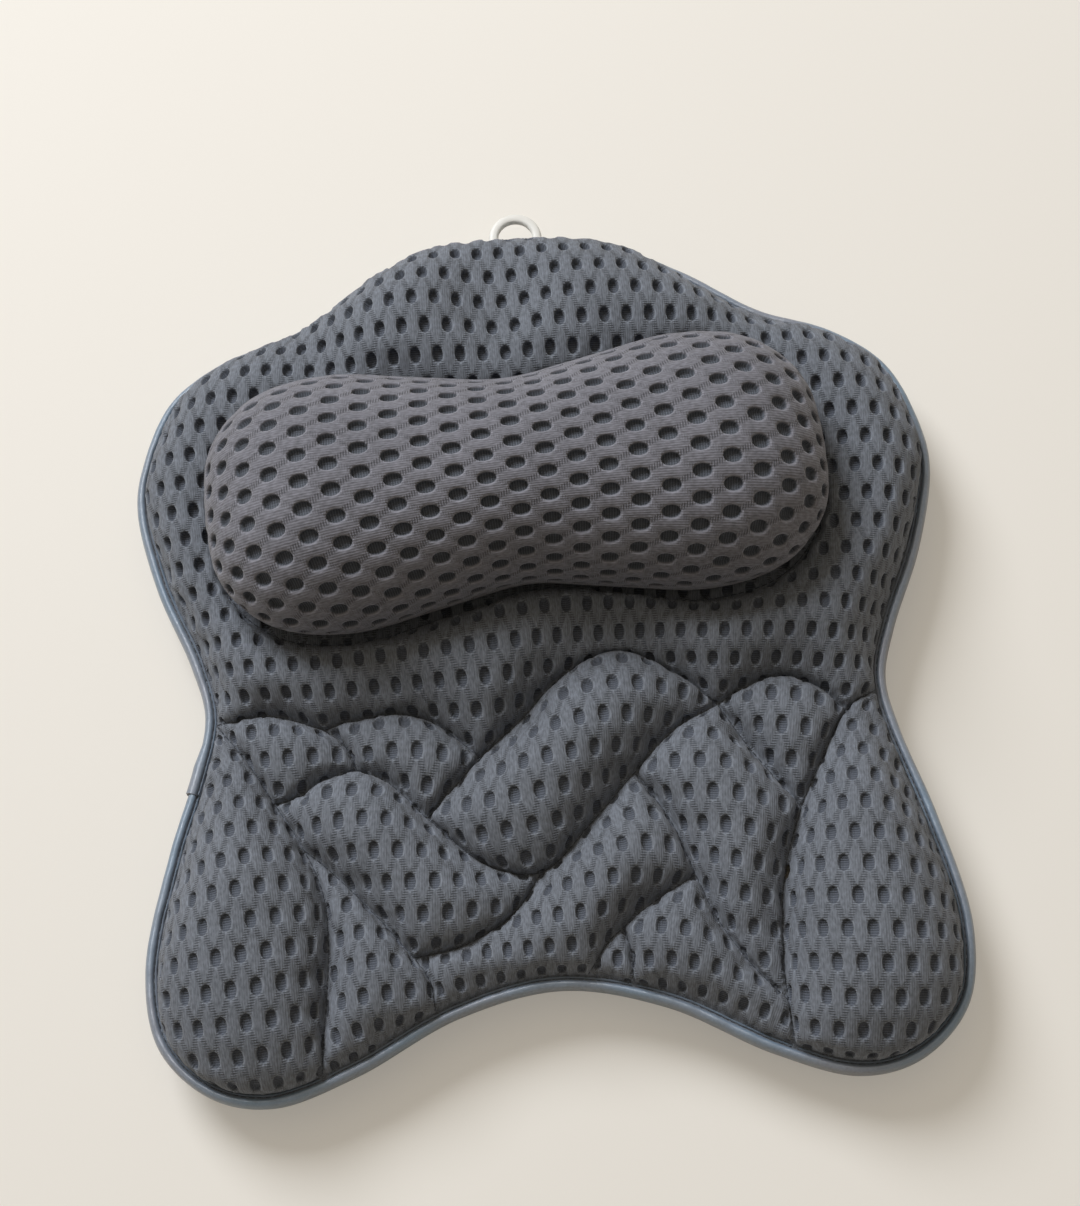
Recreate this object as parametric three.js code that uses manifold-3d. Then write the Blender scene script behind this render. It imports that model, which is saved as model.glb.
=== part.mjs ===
// Bath pillow: a quilted air-mesh panel with a sewn-on neck roll, suction cups and a hanging ring.
// Millimetres. +Z points out of the padded front, +Y towards the head end. The cups' rims stand at z = 0.
import * as THREE from 'three';
import { mergeVertices } from 'three/addons/utils/BufferGeometryUtils.js';
import Module from 'manifold-3d';

const wasm = await Module();
wasm.setup();

// Fits
const GAP = 0.3; // between pieces that lie on each other
const SWIVEL_CLEARANCE = 0.4; // round a suction cup's neck and the ring's bar

// Panel outline: the binding's outer edge, half of it, from the head end round to the notch
const HEAD_END_Y = 202;
const WING_HALF_WIDTH = 165.5;
const WAIST_HALF_WIDTH = 137.5;
const LOBE_HALF_WIDTH = 161;
const LOBE_END_Y = -160;
const NOTCH_Y = -121.5;
const HALF_OUTLINE = [
  [0, HEAD_END_Y],
  [40, 197.5],
  [70, 183],
  [100, 163.5],
  [130, 152],
  [152, 134.5],
  [164, 104],
  [WING_HALF_WIDTH, 86],
  [157, 51],
  [143, 17],
  [WAIST_HALF_WIDTH, -4],
  [141, -25],
  [152, -61],
  [LOBE_HALF_WIDTH, -106],
  [155.5, -136],
  [136, -155],
  [112, LOBE_END_Y],
  [80, -150],
  [40, -130],
  [0, NOTCH_Y],
];

// Layers of the panel, from the back
const STAND_OFF = 20; // back of the panel above the cups' rims
const BACK_THICKNESS = 2.4;
const COVER_THICKNESS = 3;
const HEM_COVER = 2; // front cover pressed flat inside the binding
const HEM_WADDING = 1;
const SEAM_RISE = 10; // quilting seams above the back of the panel
const CROWN_RISE = 27; // crowns between the seams, above the back of the panel
const SEAT_RISE = 18; // where the neck roll is sewn on
const HEM_SHOULDER = 24; // width over which the padding rises from the hem
const SEAM_SHOULDER = 21; // width over which it rises from a seam

// Edge binding: satin tape folded round the hem
const BINDING_WIDTH = 5;
const TAPE_THICKNESS = 0.8;
const BINDING_ROUND = 1.2;

// Neck roll: bone-shaped in plan, sewn on a little askew
const ROLL_X = -7;
const ROLL_Y = 77.5;
const ROLL_SKEW = 4.2; // degrees
const ROLL_HALF_LENGTH = 127;
const ROLL_END_HALF_WIDTH = 56;
const ROLL_WAIST_HALF_WIDTH = 44.5;
const ROLL_HEIGHT = 64;
const ROLL_BELLY = 20; // height of its widest line above the seat
const ROLL_TUCK = 5; // how far the sewn edge is drawn in
const ROLL_SEAM_MARGIN = 2.5; // flat of the panel round the sewn edge
const ROLL_SPINE = 72; // half length of the crest
const ROLL_NOSE = 4; // how far the ends have rounded off at half their width
const ROLL_CORNER = 23; // run of each rounded corner along the roll
const ROLL_CORNER_DROP = 7; // and its drop across the roll
const ROLL_COVER_THICKNESS = 3;

// Suction cups
const WING_CUP_INSET = 53.5; // from the wing's edge to the cup's axis
const WING_CUP_Y = 112;
const WAIST_CUP_INSET = 65.5;
const WAIST_CUP_Y = 22;
const LOBE_CUP_INSET = 39;
const LOBE_CUP_RISE = 54; // above the lobe's end
const CUP_RADIUS = 27.5;
const CUP_RIM_WIDTH = 2.5;
const CUP_WALL = 3.2;
const CUP_HOLLOW = 10.5;
const CUP_SHOULDER_RADIUS = 9.5;
const NECK_RADIUS = 6.2;
const HEAD_RADIUS = 9.5;
const HEAD_HEIGHT = 4.5;
const HEAD_EDGE = 1.5;

// Eyelets
const EYELET_FLANGE_RADIUS = 12;
const EYELET_FLANGE_THICKNESS = 1.2;
const EYELET_WALL = 1.2;
const WASHER_THICKNESS = 1.2;

// Hanging ring and its webbing tab
const RING_X = -2;
const RING_WIDTH = 23;
const RING_REACH = 19; // arch beyond the head end
const RING_LEG = 4;
const RING_THICKNESS = 3.6;
const RING_BEVEL = 0.9;
const BAR_INSET = 10; // bar's middle in from the head end
const WEBBING_THICKNESS = 1.2;
const TAB_LENGTH = 19;

// Facets
const HEM_STEP = 18;
const SEAM_STEP = 16;
const TURN_SEGMENTS = 20;
const BELL_STEPS = 4;
const HEAD_STEPS = 2;
const ROLL_SIDE_STEPS = 26;
const ROLL_COVER_ARCS = 6;
const ROLL_LINING_ARCS = 4;
const RING_ARCH_SEGMENTS = 10;
const OUTLINE_TRIES = 3000; // places tried along the outline for a seam's end
const COVER_TOP_RINGS = [0.25, 0.65]; // rings of a quilt cell, as shares of the way to its crest
const COVER_UNDER_RINGS = [0.65];
const UPPER_TOP_RINGS = [0.2, 0.6, 1]; // rings of the upper panel, as shares of the way to the roll
const UPPER_UNDER_RINGS = [0.6, 1];
const WELD = 1e-3; // points closer than this are one

// Finishes, as colour and roughness
const AIR_MESH = [0x5f6165, 0.9];
const ROLL_MESH = [0x57585b, 0.9];
const WADDING = [0xe9e7e0, 1];
const SATIN_TAPE = [0x5d6f80, 0.5];
const CLEAR_PVC = [0xd5dde0, 0.15];
const GREY_PLASTIC = [0xb9bcc0, 0.4];
const WHITE_PLASTIC = [0xf2f2ee, 0.35];
const WEBBING = [0x4b5560, 0.85];

// Heights that follow
const BACK_TOP = STAND_OFF + BACK_THICKNESS;
const WADDING_BASE = BACK_TOP + GAP;
const HEM_UNDER = WADDING_BASE + HEM_WADDING + GAP;
const HEM_TOP = HEM_UNDER + HEM_COVER;
const SEAM_Z = STAND_OFF + SEAM_RISE;
const CROWN_Z = STAND_OFF + CROWN_RISE;
const SEAT_Z = STAND_OFF + SEAT_RISE;
const EYELET_TOP = BACK_TOP + GAP + WASHER_THICKNESS;
const EYELET_BASE = STAND_OFF - GAP - EYELET_FLANGE_THICKNESS;
const EYELET_BORE = NECK_RADIUS + SWIVEL_CLEARANCE;
const EYELET_BARREL = EYELET_BORE + EYELET_WALL;
const HEAD_BASE = EYELET_TOP + GAP;
const HEAD_TOP = HEAD_BASE + HEAD_HEIGHT;
const RIM_INSET = TAPE_THICKNESS + GAP;
const HEM_INSET = BINDING_WIDTH + GAP;
const CUP_PAIRS = [
  [WING_HALF_WIDTH - WING_CUP_INSET, WING_CUP_Y],
  [WAIST_HALF_WIDTH - WAIST_CUP_INSET, WAIST_CUP_Y],
  [LOBE_HALF_WIDTH - LOBE_CUP_INSET, LOBE_END_Y + LOBE_CUP_RISE],
];
const CUP_PLACES = CUP_PAIRS.flatMap(([x, y]) => [[-x, y], [x, y]]);

// Plane vectors and polylines
const v2 = (x, y) => new THREE.Vector2(x, y);
const rollMiddle = v2(ROLL_X, ROLL_Y);
const rollTurn = THREE.MathUtils.degToRad(ROLL_SKEW);

function smoothCurve(points, closed) {
  const places = points.map(([x, y]) => new THREE.Vector3(x, y, 0));
  return new THREE.CatmullRomCurve3(places, closed, 'centripetal');
}

function nearestOnSegment(p, a, b) {
  const along = b.clone().sub(a);
  const share = THREE.MathUtils.clamp(p.clone().sub(a).dot(along) / along.lengthSq(), 0, 1);
  return a.clone().addScaledVector(along, share);
}

function lineDistance(p, line) {
  let least = Infinity;
  for (let i = 0; i + 1 < line.length; i += 1) {
    least = Math.min(least, p.distanceTo(nearestOnSegment(p, line[i], line[i + 1])));
  }
  return least;
}

// Outline of the panel with its inward normals
const mirrored = HALF_OUTLINE.slice(1, -1).reverse().map(([x, y]) => [-x, y]);
const outline = smoothCurve([...HALF_OUTLINE, ...mirrored].reverse(), true);
outline.arcLengthDivisions = OUTLINE_TRIES;

function station(share) {
  const p = outline.getPointAt(share % 1);
  const t = outline.getTangentAt(share % 1);
  return { edge: v2(p.x, p.y), inward: v2(-t.y, t.x) };
}

const insetPoint = (place, inset) => place.edge.clone().addScaledVector(place.inward, inset);

function shareNearest(x, y) {
  let best = 0;
  let least = Infinity;
  for (let i = 0; i < OUTLINE_TRIES; i += 1) {
    const share = i / OUTLINE_TRIES;
    const distance = insetPoint(station(share), HEM_INSET).distanceTo(v2(x, y));
    if (distance < least) {
      least = distance;
      best = share;
    }
  }
  return best;
}

// Seam ends on the hem, in order round the panel from the right waist
const HEM_ENDS = [
  ['waistRight', 132, -9],
  ['waistLeft', -132, -9],
  ['lobeLeft', -92, -150],
  ['triangleLeft', -48, -129],
  ['ribbonEnd', 11, -117],
  ['triangleFoot', 28, -122],
  ['lobeRight', 87, -149],
];

// Points where quilting seams meet
const MEETINGS = {
  scallops: [-89, -14],
  divider: [-75.5, -32.5],
  ribbonStart: [-109, -43.3],
  bigLeft: [-49, -52.5],
  scallopEnd: [-27, -29],
  bigRight: [68.5, -12.5],
  bigLow: [33.5, -38.5],
  bigBottom: [-5, -76],
  ribbonLow: [-56, -107],
  lobeTouch: [-98, -62],
  triangleTop: [54.5, -80.5],
  triangleSide: [25, -99.8],
  lowRight: [86, -131],
  lobeMid: [98, -56.5],
  lobeHigh: [119.5, -18],
};

// Quilting seams: each runs through the named meetings and the points between them
const SEAMS = [
  ['waistLeft', [-127, -16], [-119, -27], 'ribbonStart', 'lobeTouch', [-91, -79], [-89, -97],
    [-90, -119], [-91.5, -135], 'lobeLeft'],
  ['waistLeft', [-124, -8.5], [-114, -7], [-104, -8.5], 'scallops'],
  ['scallops', [-81, -21], 'divider'],
  ['scallops', [-79, -11.5], [-62, -9.5], [-47, -12.5], 'scallopEnd'],
  ['ribbonStart', [-99, -41], [-88, -35], 'divider', [-65, -36.5], 'bigLeft'],
  ['bigLeft', 'scallopEnd', [-10, -14], [7, 2.5], [30, 10.5], [53, 0.5], 'bigRight'],
  ['bigRight', [50, -22.5], 'bigLow', [15, -58], 'bigBottom', [-25, -73], 'bigLeft'],
  ['bigBottom', [-18, -93], [-38, -103.5], 'ribbonLow'],
  ['ribbonLow', [-71, -89], [-88, -71], 'lobeTouch'],
  ['ribbonLow', [-50, -117], 'triangleLeft'],
  ['bigLow', [46, -58], 'triangleTop'],
  ['triangleTop', [36, -91.5], 'triangleSide', [17, -107], 'ribbonEnd'],
  ['triangleSide', [27, -107], 'triangleFoot'],
  ['triangleTop', [61, -97], [73, -116], 'lowRight'],
  ['bigRight', [79, -30], 'lobeMid'],
  ['bigRight', [76, -8], [94, -2.7], [108, -7.5], 'lobeHigh'],
  ['waistRight', 'lobeHigh', [108, -37], 'lobeMid', [90, -79], [86.5, -102], 'lowRight', 'lobeRight'],
];

// Quilt cells, each a loop of meetings run counter-clockwise and the two ends of its crest
const CELLS = [
  { loop: ['waistLeft', 'ribbonStart', 'divider', 'scallops'], crest: [[-113, -20], [-92, -25]] },
  { loop: ['scallops', 'divider', 'bigLeft', 'scallopEnd'], crest: [[-70, -20], [-46, -33]] },
  { loop: ['waistLeft', 'lobeLeft', 'lobeTouch', 'ribbonStart'], crest: [[-127, -55], [-121, -120]] },
  { loop: ['ribbonStart', 'lobeTouch', 'ribbonLow', 'bigBottom', 'bigLeft', 'divider'],
    crest: [[-84, -54], [-42, -87]] },
  { loop: ['lobeTouch', 'lobeLeft', 'triangleLeft', 'ribbonLow'], crest: [[-82, -95], [-68, -124]] },
  { loop: ['bigLeft', 'bigBottom', 'bigLow', 'bigRight', 'scallopEnd'], crest: [[-18, -48], [36, -12]] },
  { loop: ['ribbonLow', 'triangleLeft', 'ribbonEnd', 'triangleSide', 'triangleTop', 'bigLow', 'bigBottom'],
    crest: [[-26, -112], [32, -66]] },
  { loop: ['bigLow', 'triangleTop', 'lowRight', 'lobeMid', 'bigRight'], crest: [[62, -38], [76, -92]] },
  { loop: ['bigRight', 'lobeMid', 'lobeHigh'], crest: [[90, -17], [99, -26]] },
  { loop: ['triangleSide', 'ribbonEnd', 'triangleFoot'], crest: [[21, -110], [22, -114]] },
  { loop: ['triangleTop', 'triangleSide', 'triangleFoot', 'lobeRight', 'lowRight'],
    crest: [[44, -107], [66, -122]] },
  { loop: ['lobeRight', 'waistRight', 'lobeHigh', 'lobeMid', 'lowRight'], crest: [[124, -55], [120, -120]] },
];
const UPPER_LOOP = ['waistRight', 'waistLeft', 'scallops', 'scallopEnd', 'bigRight', 'lobeHigh'];

// Planar map: every knot keeps its place on the plan, and chains of knots join the meetings
const knots = [];
const chains = new Map();
const meetingKnot = new Map();

function addKnot(point, place) {
  knots.push({ point, place });
  return knots.length - 1;
}

function addChain(from, to, chain) {
  chains.set(`${from}>${to}`, chain);
  chains.set(`${to}>${from}`, [...chain].reverse());
}

const hemLoop = [];
const endShares = HEM_ENDS.map(([, x, y]) => shareNearest(x, y));
HEM_ENDS.forEach(([name], i) => {
  const place = station(endShares[i]);
  meetingKnot.set(name, addKnot(insetPoint(place, HEM_INSET), place));
});
HEM_ENDS.forEach(([name], i) => {
  const next = (i + 1) % HEM_ENDS.length;
  const run = (endShares[next] - endShares[i] + 1) % 1;
  const steps = Math.max(2, Math.round((run * outline.getLength()) / HEM_STEP));
  const chain = [meetingKnot.get(name)];
  for (let k = 1; k < steps; k += 1) {
    const place = station(endShares[i] + (run * k) / steps);
    chain.push(addKnot(insetPoint(place, HEM_INSET), place));
  }
  hemLoop.push(...chain);
  chain.push(meetingKnot.get(HEM_ENDS[next][0]));
  addChain(name, HEM_ENDS[next][0], chain);
});
Object.entries(MEETINGS).forEach(([name, [x, y]]) => meetingKnot.set(name, addKnot(v2(x, y))));

SEAMS.forEach((seam) => {
  const points = seam.map((p) => (typeof p === 'string' ? knots[meetingKnot.get(p)].point.toArray() : p));
  const curve = smoothCurve(points, false);
  const last = seam.length - 1;
  let start = 0;
  for (let i = 1; i <= last; i += 1) {
    if (typeof seam[i] === 'string') {
      let length = 0;
      for (let k = start; k < i; k += 1) length += v2(...points[k]).distanceTo(v2(...points[k + 1]));
      const steps = Math.max(1, Math.round(length / SEAM_STEP));
      const chain = [meetingKnot.get(seam[start])];
      for (let k = 1; k < steps; k += 1) {
        const p = curve.getPoint((start + ((i - start) * k) / steps) / last);
        chain.push(addKnot(v2(p.x, p.y)));
      }
      chain.push(meetingKnot.get(seam[i]));
      addChain(seam[start], seam[i], chain);
      start = i;
    }
  }
});

function loopKnots(names) {
  return names.flatMap((name, i) => chains.get(`${name}>${names[(i + 1) % names.length]}`).slice(0, -1));
}

const seamLines = [...chains.entries()]
  .filter(([, chain]) => !(knots[chain[0]].place && knots[chain[1]].place))
  .map(([, chain]) => chain.map((k) => knots[k].point));
const hemLine = [...hemLoop, hemLoop[0]].map((k) => knots[k].point);
const seamDistance = (p) => Math.min(...seamLines.map((line) => lineDistance(p, line)));

// Neck roll's plan: half of it from one end to the other, mirrored about its own axis
const rollEnd = [
  [ROLL_HALF_LENGTH, 0],
  [ROLL_HALF_LENGTH - ROLL_NOSE, ROLL_END_HALF_WIDTH / 2],
  [ROLL_HALF_LENGTH - ROLL_CORNER, ROLL_END_HALF_WIDTH - ROLL_CORNER_DROP],
  [ROLL_SPINE, ROLL_END_HALF_WIDTH],
  [ROLL_SPINE / 2, (ROLL_END_HALF_WIDTH + ROLL_WAIST_HALF_WIDTH) / 2],
];
const otherEnd = [...rollEnd].reverse().map(([x, y]) => [-x, y]);
const rollHalfPlan = smoothCurve([...rollEnd, [0, ROLL_WAIST_HALF_WIDTH], ...otherEnd], false);
const rollSide = rollHalfPlan.getSpacedPoints(ROLL_SIDE_STEPS).map((p) => v2(p.x, p.y));
const rollPlan = [...rollSide, ...rollSide.slice(1, -1).reverse().map((p) => v2(p.x, -p.y))];

const spinePoint = (p) => v2(THREE.MathUtils.clamp(p.x, -ROLL_SPINE, ROLL_SPINE), 0);

function rollPoint(p, inset, share) {
  const spine = spinePoint(p);
  const reach = p.clone().sub(spine);
  const place = spine.addScaledVector(reach, share * (1 - inset / reach.length()));
  return place.rotateAround(v2(0, 0), rollTurn).add(rollMiddle);
}

const rollSeam = rollPlan.map((p) => rollPoint(p, ROLL_TUCK - ROLL_SEAM_MARGIN, 1));
const rollSeamLine = [...rollSeam, rollSeam[0]];

// Point of the roll's sewn edge on the straight line from its crest to a point of the panel
function rollSeamFacing(point) {
  const own = point.clone().sub(rollMiddle).rotateAround(v2(0, 0), -rollTurn);
  const from = spinePoint(own).rotateAround(v2(0, 0), rollTurn).add(rollMiddle);
  const ray = point.clone().sub(from);
  for (let i = 0; i + 1 < rollSeamLine.length; i += 1) {
    const a = rollSeamLine[i].clone().sub(from);
    const side = rollSeamLine[i + 1].clone().sub(rollSeamLine[i]);
    const turn = ray.cross(side);
    const along = a.cross(side) / turn;
    const across = a.cross(ray) / turn;
    if (along > 0 && across >= 0 && across <= 1) return from.addScaledVector(ray, along);
  }
  throw new Error('the neck roll lies outside the panel');
}

// Padding profile: a quarter round that rises from a seam to the crown
function rise(distance, width) {
  const left = 1 - Math.min(distance / width, 1);
  return Math.sqrt(1 - left * left);
}

function coverTop(p) {
  const fromHem = HEM_TOP + (CROWN_Z - HEM_TOP) * rise(lineDistance(p, hemLine), HEM_SHOULDER);
  const fromSeam = SEAM_Z + (CROWN_Z - SEAM_Z) * rise(seamDistance(p), SEAM_SHOULDER);
  const fromRoll = SEAT_Z + (CROWN_Z - SEAT_Z) * rise(lineDistance(p, rollSeamLine), SEAM_SHOULDER);
  return Math.min(fromHem, fromSeam, fromRoll);
}

function coverUnder(p) {
  const top = coverTop(p);
  const pressed = Math.min((top - HEM_TOP) / (SEAM_Z - HEM_TOP), 1);
  return top - HEM_COVER - (COVER_THICKNESS - HEM_COVER) * pressed;
}

const waddingTop = (p) => coverUnder(p) - GAP;

// Mesh builder
class Faces {
  constructor() {
    this.places = [];
    this.corners = [];
  }

  vertex(p, z) {
    this.places.push(p.x, p.y, z);
    return this.places.length / 3 - 1;
  }

  ring(points, z) {
    return points.map((p) => this.vertex(p, z));
  }

  triangle(a, b, c) {
    this.corners.push(a, b, c);
  }

  strip(outer, inner) {
    outer.forEach((a, i) => {
      const next = (i + 1) % outer.length;
      this.triangle(a, outer[next], inner[next]);
      this.triangle(a, inner[next], inner[i]);
    });
  }

  fan(loop, middle) {
    loop.forEach((a, i) => this.triangle(a, loop[(i + 1) % loop.length], middle));
  }

  cap(points, loop) {
    THREE.ShapeUtils.triangulateShape(points, []).forEach(([a, b, c]) => {
      this.triangle(loop[a], loop[b], loop[c]);
    });
  }

  flip(from) {
    for (let i = from; i < this.corners.length; i += 3) {
      [this.corners[i], this.corners[i + 1]] = [this.corners[i + 1], this.corners[i]];
    }
  }

  geometry() {
    const raw = new THREE.BufferGeometry();
    raw.setAttribute('position', new THREE.Float32BufferAttribute(this.places, 3));
    raw.setIndex(this.corners);
    const merged = mergeVertices(raw, WELD);
    const index = merged.index.array;
    const kept = [];
    for (let i = 0; i < index.length; i += 3) {
      const [a, b, c] = [index[i], index[i + 1], index[i + 2]];
      if (a !== b && b !== c && c !== a) kept.push(a, b, c);
    }
    merged.setIndex(kept);
    return merged;
  }
}

const insetLoop = (inset) => hemLoop.map((k) => insetPoint(knots[k].place, inset));
const rimPoints = insetLoop(RIM_INSET);

// Quilted sheet: cells of rings that close on their crowns, the upper panel round the roll, the seat and hem
function quiltSheet(faces, heightAt, cellRings, upperRings) {
  const start = faces.corners.length;
  const onSheet = new Map();
  const knotVertex = (k) => {
    if (!onSheet.has(k)) onSheet.set(k, faces.vertex(knots[k].point, heightAt(knots[k].point)));
    return onSheet.get(k);
  };
  const inner = (points) => points.map((p) => faces.vertex(p, heightAt(p)));
  CELLS.forEach((cell) => {
    const [head, tail] = cell.crest.map(([x, y]) => v2(x, y));
    const edge = loopKnots(cell.loop);
    let outer = edge.map(knotVertex);
    let points = [];
    cellRings.forEach((share) => {
      points = edge.map((k) => {
        const { point } = knots[k];
        return point.clone().lerp(nearestOnSegment(point, head, tail), share);
      });
      const ring = inner(points);
      faces.strip(outer, ring);
      outer = ring;
    });
    faces.cap(points, outer);
  });
  const upper = loopKnots(UPPER_LOOP);
  const seam = upper.map((k) => rollSeamFacing(knots[k].point));
  let outer = upper.map(knotVertex);
  upperRings.forEach((share) => {
    const ring = inner(upper.map((k, i) => knots[k].point.clone().lerp(seam[i], share)));
    faces.strip(outer, ring);
    outer = ring;
  });
  faces.fan(outer, faces.vertex(rollMiddle, heightAt(seam[0])));
  const hem = hemLoop.map(knotVertex);
  const rim = hemLoop.map((k, i) => faces.vertex(rimPoints[i], heightAt(knots[k].point)));
  faces.strip(rim, hem);
  return { start, rim };
}

function frontCover() {
  const faces = new Faces();
  const top = quiltSheet(faces, coverTop, COVER_TOP_RINGS, UPPER_TOP_RINGS);
  const under = quiltSheet(faces, coverUnder, COVER_UNDER_RINGS, UPPER_UNDER_RINGS);
  faces.flip(under.start);
  faces.strip(under.rim, top.rim);
  return faces.geometry();
}

function panelWadding() {
  const faces = new Faces();
  const top = quiltSheet(faces, waddingTop, COVER_UNDER_RINGS, UPPER_UNDER_RINGS);
  const base = faces.ring(rimPoints, WADDING_BASE);
  faces.strip(base, top.rim);
  const start = faces.corners.length;
  faces.cap(rimPoints, base);
  faces.flip(start);
  const pocketTop = HEAD_TOP + GAP;
  const pocketBase = WADDING_BASE - GAP;
  const depth = pocketTop - pocketBase;
  const radius = Math.max(HEAD_RADIUS, EYELET_FLANGE_RADIUS) + GAP;
  return CUP_PLACES.reduce((rest, [x, y]) => {
    const pocket = new THREE.CylinderGeometry(radius, radius, depth, TURN_SEGMENTS);
    pocket.rotateX(Math.PI / 2).translate(x, y, (pocketTop + pocketBase) / 2);
    return cut(rest, pocket);
  }, faces.geometry());
}

// Boolean cut
function solidOf(geometry) {
  const bare = geometry.clone();
  bare.deleteAttribute('normal');
  bare.deleteAttribute('uv');
  const merged = mergeVertices(bare, WELD);
  return new wasm.Manifold(new wasm.Mesh({
    numProp: 3,
    vertProperties: new Float32Array(merged.attributes.position.array),
    triVerts: new Uint32Array(merged.index.array),
  }));
}

function cut(body, tool) {
  const mesh = solidOf(body).subtract(solidOf(tool)).getMesh();
  const geometry = new THREE.BufferGeometry();
  geometry.setAttribute('position', new THREE.Float32BufferAttribute(mesh.vertProperties, 3));
  geometry.setIndex(new THREE.Uint32BufferAttribute(mesh.triVerts, 1));
  return geometry;
}

// Back cover: a flat sheet with a hole for each eyelet
function backCover() {
  const shape = new THREE.Shape(rimPoints);
  CUP_PLACES.forEach(([x, y]) => {
    shape.holes.push(new THREE.Path().absarc(x, y, EYELET_BARREL + GAP, 0, Math.PI * 2, true));
  });
  const sheet = new THREE.ExtrudeGeometry(shape, {
    depth: BACK_THICKNESS,
    bevelEnabled: false,
    curveSegments: TURN_SEGMENTS / 2,
  });
  return sheet.translate(0, 0, STAND_OFF);
}

// Edge binding: a folded tape whose two leaves lie over the hem and under the back cover
function edgeBinding() {
  const low = STAND_OFF - GAP - TAPE_THICKNESS;
  const high = HEM_TOP + GAP + TAPE_THICKNESS;
  const section = [
    [BINDING_WIDTH, low],
    [BINDING_ROUND, low],
    [0, low + BINDING_ROUND],
    [0, high - BINDING_ROUND],
    [BINDING_ROUND, high],
    [BINDING_WIDTH, high],
    [BINDING_WIDTH, high - TAPE_THICKNESS],
    [TAPE_THICKNESS, high - TAPE_THICKNESS],
    [TAPE_THICKNESS, low + TAPE_THICKNESS],
    [BINDING_WIDTH, low + TAPE_THICKNESS],
  ];
  const faces = new Faces();
  const rings = section.map(([inset, z]) => faces.ring(insetLoop(inset), z));
  rings.forEach((ring, i) => faces.strip(ring, rings[(i + 1) % rings.length]));
  return faces.geometry();
}

// Neck roll: rings from the drawn-in sewn edge over the belly to the crest
function rollSheet(faces, inset, arcs) {
  const base = SEAT_Z + GAP;
  const start = faces.corners.length;
  const edge = faces.ring(rollPlan.map((p) => rollPoint(p, ROLL_TUCK + inset, 1)), base);
  let outer = edge;
  for (let i = 0; i <= arcs; i += 1) {
    const angle = (Math.PI / 2) * (i / arcs);
    const z = base + ROLL_BELLY + (ROLL_HEIGHT - inset - ROLL_BELLY) * Math.sin(angle);
    const share = i === arcs ? 0 : Math.cos(angle);
    const ring = faces.ring(rollPlan.map((p) => rollPoint(p, inset, share)), z);
    faces.strip(outer, ring);
    outer = ring;
  }
  return { start, edge };
}

function neckRollCover() {
  const faces = new Faces();
  const outside = rollSheet(faces, 0, ROLL_COVER_ARCS);
  const inside = rollSheet(faces, ROLL_COVER_THICKNESS, ROLL_LINING_ARCS);
  faces.flip(inside.start);
  faces.strip(inside.edge, outside.edge);
  return faces.geometry();
}

function neckRollCore() {
  const faces = new Faces();
  const body = rollSheet(faces, ROLL_COVER_THICKNESS + GAP, ROLL_LINING_ARCS);
  const start = faces.corners.length;
  faces.fan(body.edge, faces.vertex(rollMiddle, SEAT_Z + GAP));
  faces.flip(start);
  return faces.geometry();
}

// Turned pieces: profiles of radius and height, from the axis or closed on themselves
function turned(profile) {
  const lathe = new THREE.LatheGeometry(profile.map(([r, z]) => v2(r, z)), TURN_SEGMENTS);
  return lathe.rotateX(Math.PI / 2);
}

// Arched flank that rises ever more gently from its side to its top, as radius and height
function archedFlank(steps, side, topRadius, low, top) {
  return Array.from({ length: steps + 1 }, (_, i) => {
    const share = i / steps;
    return [side + (topRadius - side) * share, low + (top - low) * Math.sin((Math.PI / 2) * share)];
  });
}

function suctionCup() {
  const bellTop = EYELET_BASE - GAP;
  return turned([
    ...archedFlank(BELL_STEPS, CUP_RADIUS - CUP_RIM_WIDTH, 0, 0, CUP_HOLLOW).reverse(),
    [CUP_RADIUS, 0],
    ...archedFlank(BELL_STEPS, CUP_RADIUS, CUP_SHOULDER_RADIUS, CUP_WALL / 2, CUP_HOLLOW + CUP_WALL),
    [CUP_SHOULDER_RADIUS, bellTop],
    [NECK_RADIUS, bellTop],
    [NECK_RADIUS, HEAD_BASE],
    [HEAD_RADIUS, HEAD_BASE],
    ...archedFlank(HEAD_STEPS, HEAD_RADIUS, 0, HEAD_BASE + HEAD_EDGE, HEAD_TOP),
  ]);
}

function eyelet() {
  return turned([
    [EYELET_BORE, EYELET_BASE],
    [EYELET_FLANGE_RADIUS, EYELET_BASE],
    [EYELET_FLANGE_RADIUS, EYELET_BASE + EYELET_FLANGE_THICKNESS],
    [EYELET_BARREL, EYELET_BASE + EYELET_FLANGE_THICKNESS],
    [EYELET_BARREL, EYELET_TOP],
    [EYELET_BORE, EYELET_TOP],
    [EYELET_BORE, EYELET_BASE],
  ]);
}

function eyeletWasher() {
  const base = EYELET_TOP - WASHER_THICKNESS;
  return turned([
    [EYELET_BARREL + GAP, base],
    [EYELET_FLANGE_RADIUS, base],
    [EYELET_FLANGE_RADIUS, EYELET_TOP],
    [EYELET_BARREL + GAP, EYELET_TOP],
    [EYELET_BARREL + GAP, base],
  ]);
}

// Hanging ring: a D with a straight bar, about its bar's middle
const barY = HEAD_END_Y - BAR_INSET;
const barReach = Math.hypot(RING_LEG, RING_THICKNESS) / 2;
const loopRadius = barReach + SWIVEL_CLEARANCE;
const barZ = STAND_OFF - GAP - WEBBING_THICKNESS - loopRadius;

function dOutline(path, half, top, bottom) {
  path.moveTo(-half, bottom).lineTo(half, bottom).lineTo(half, top - half);
  return path.absarc(0, top - half, half, 0, Math.PI, false).lineTo(-half, bottom);
}

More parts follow.
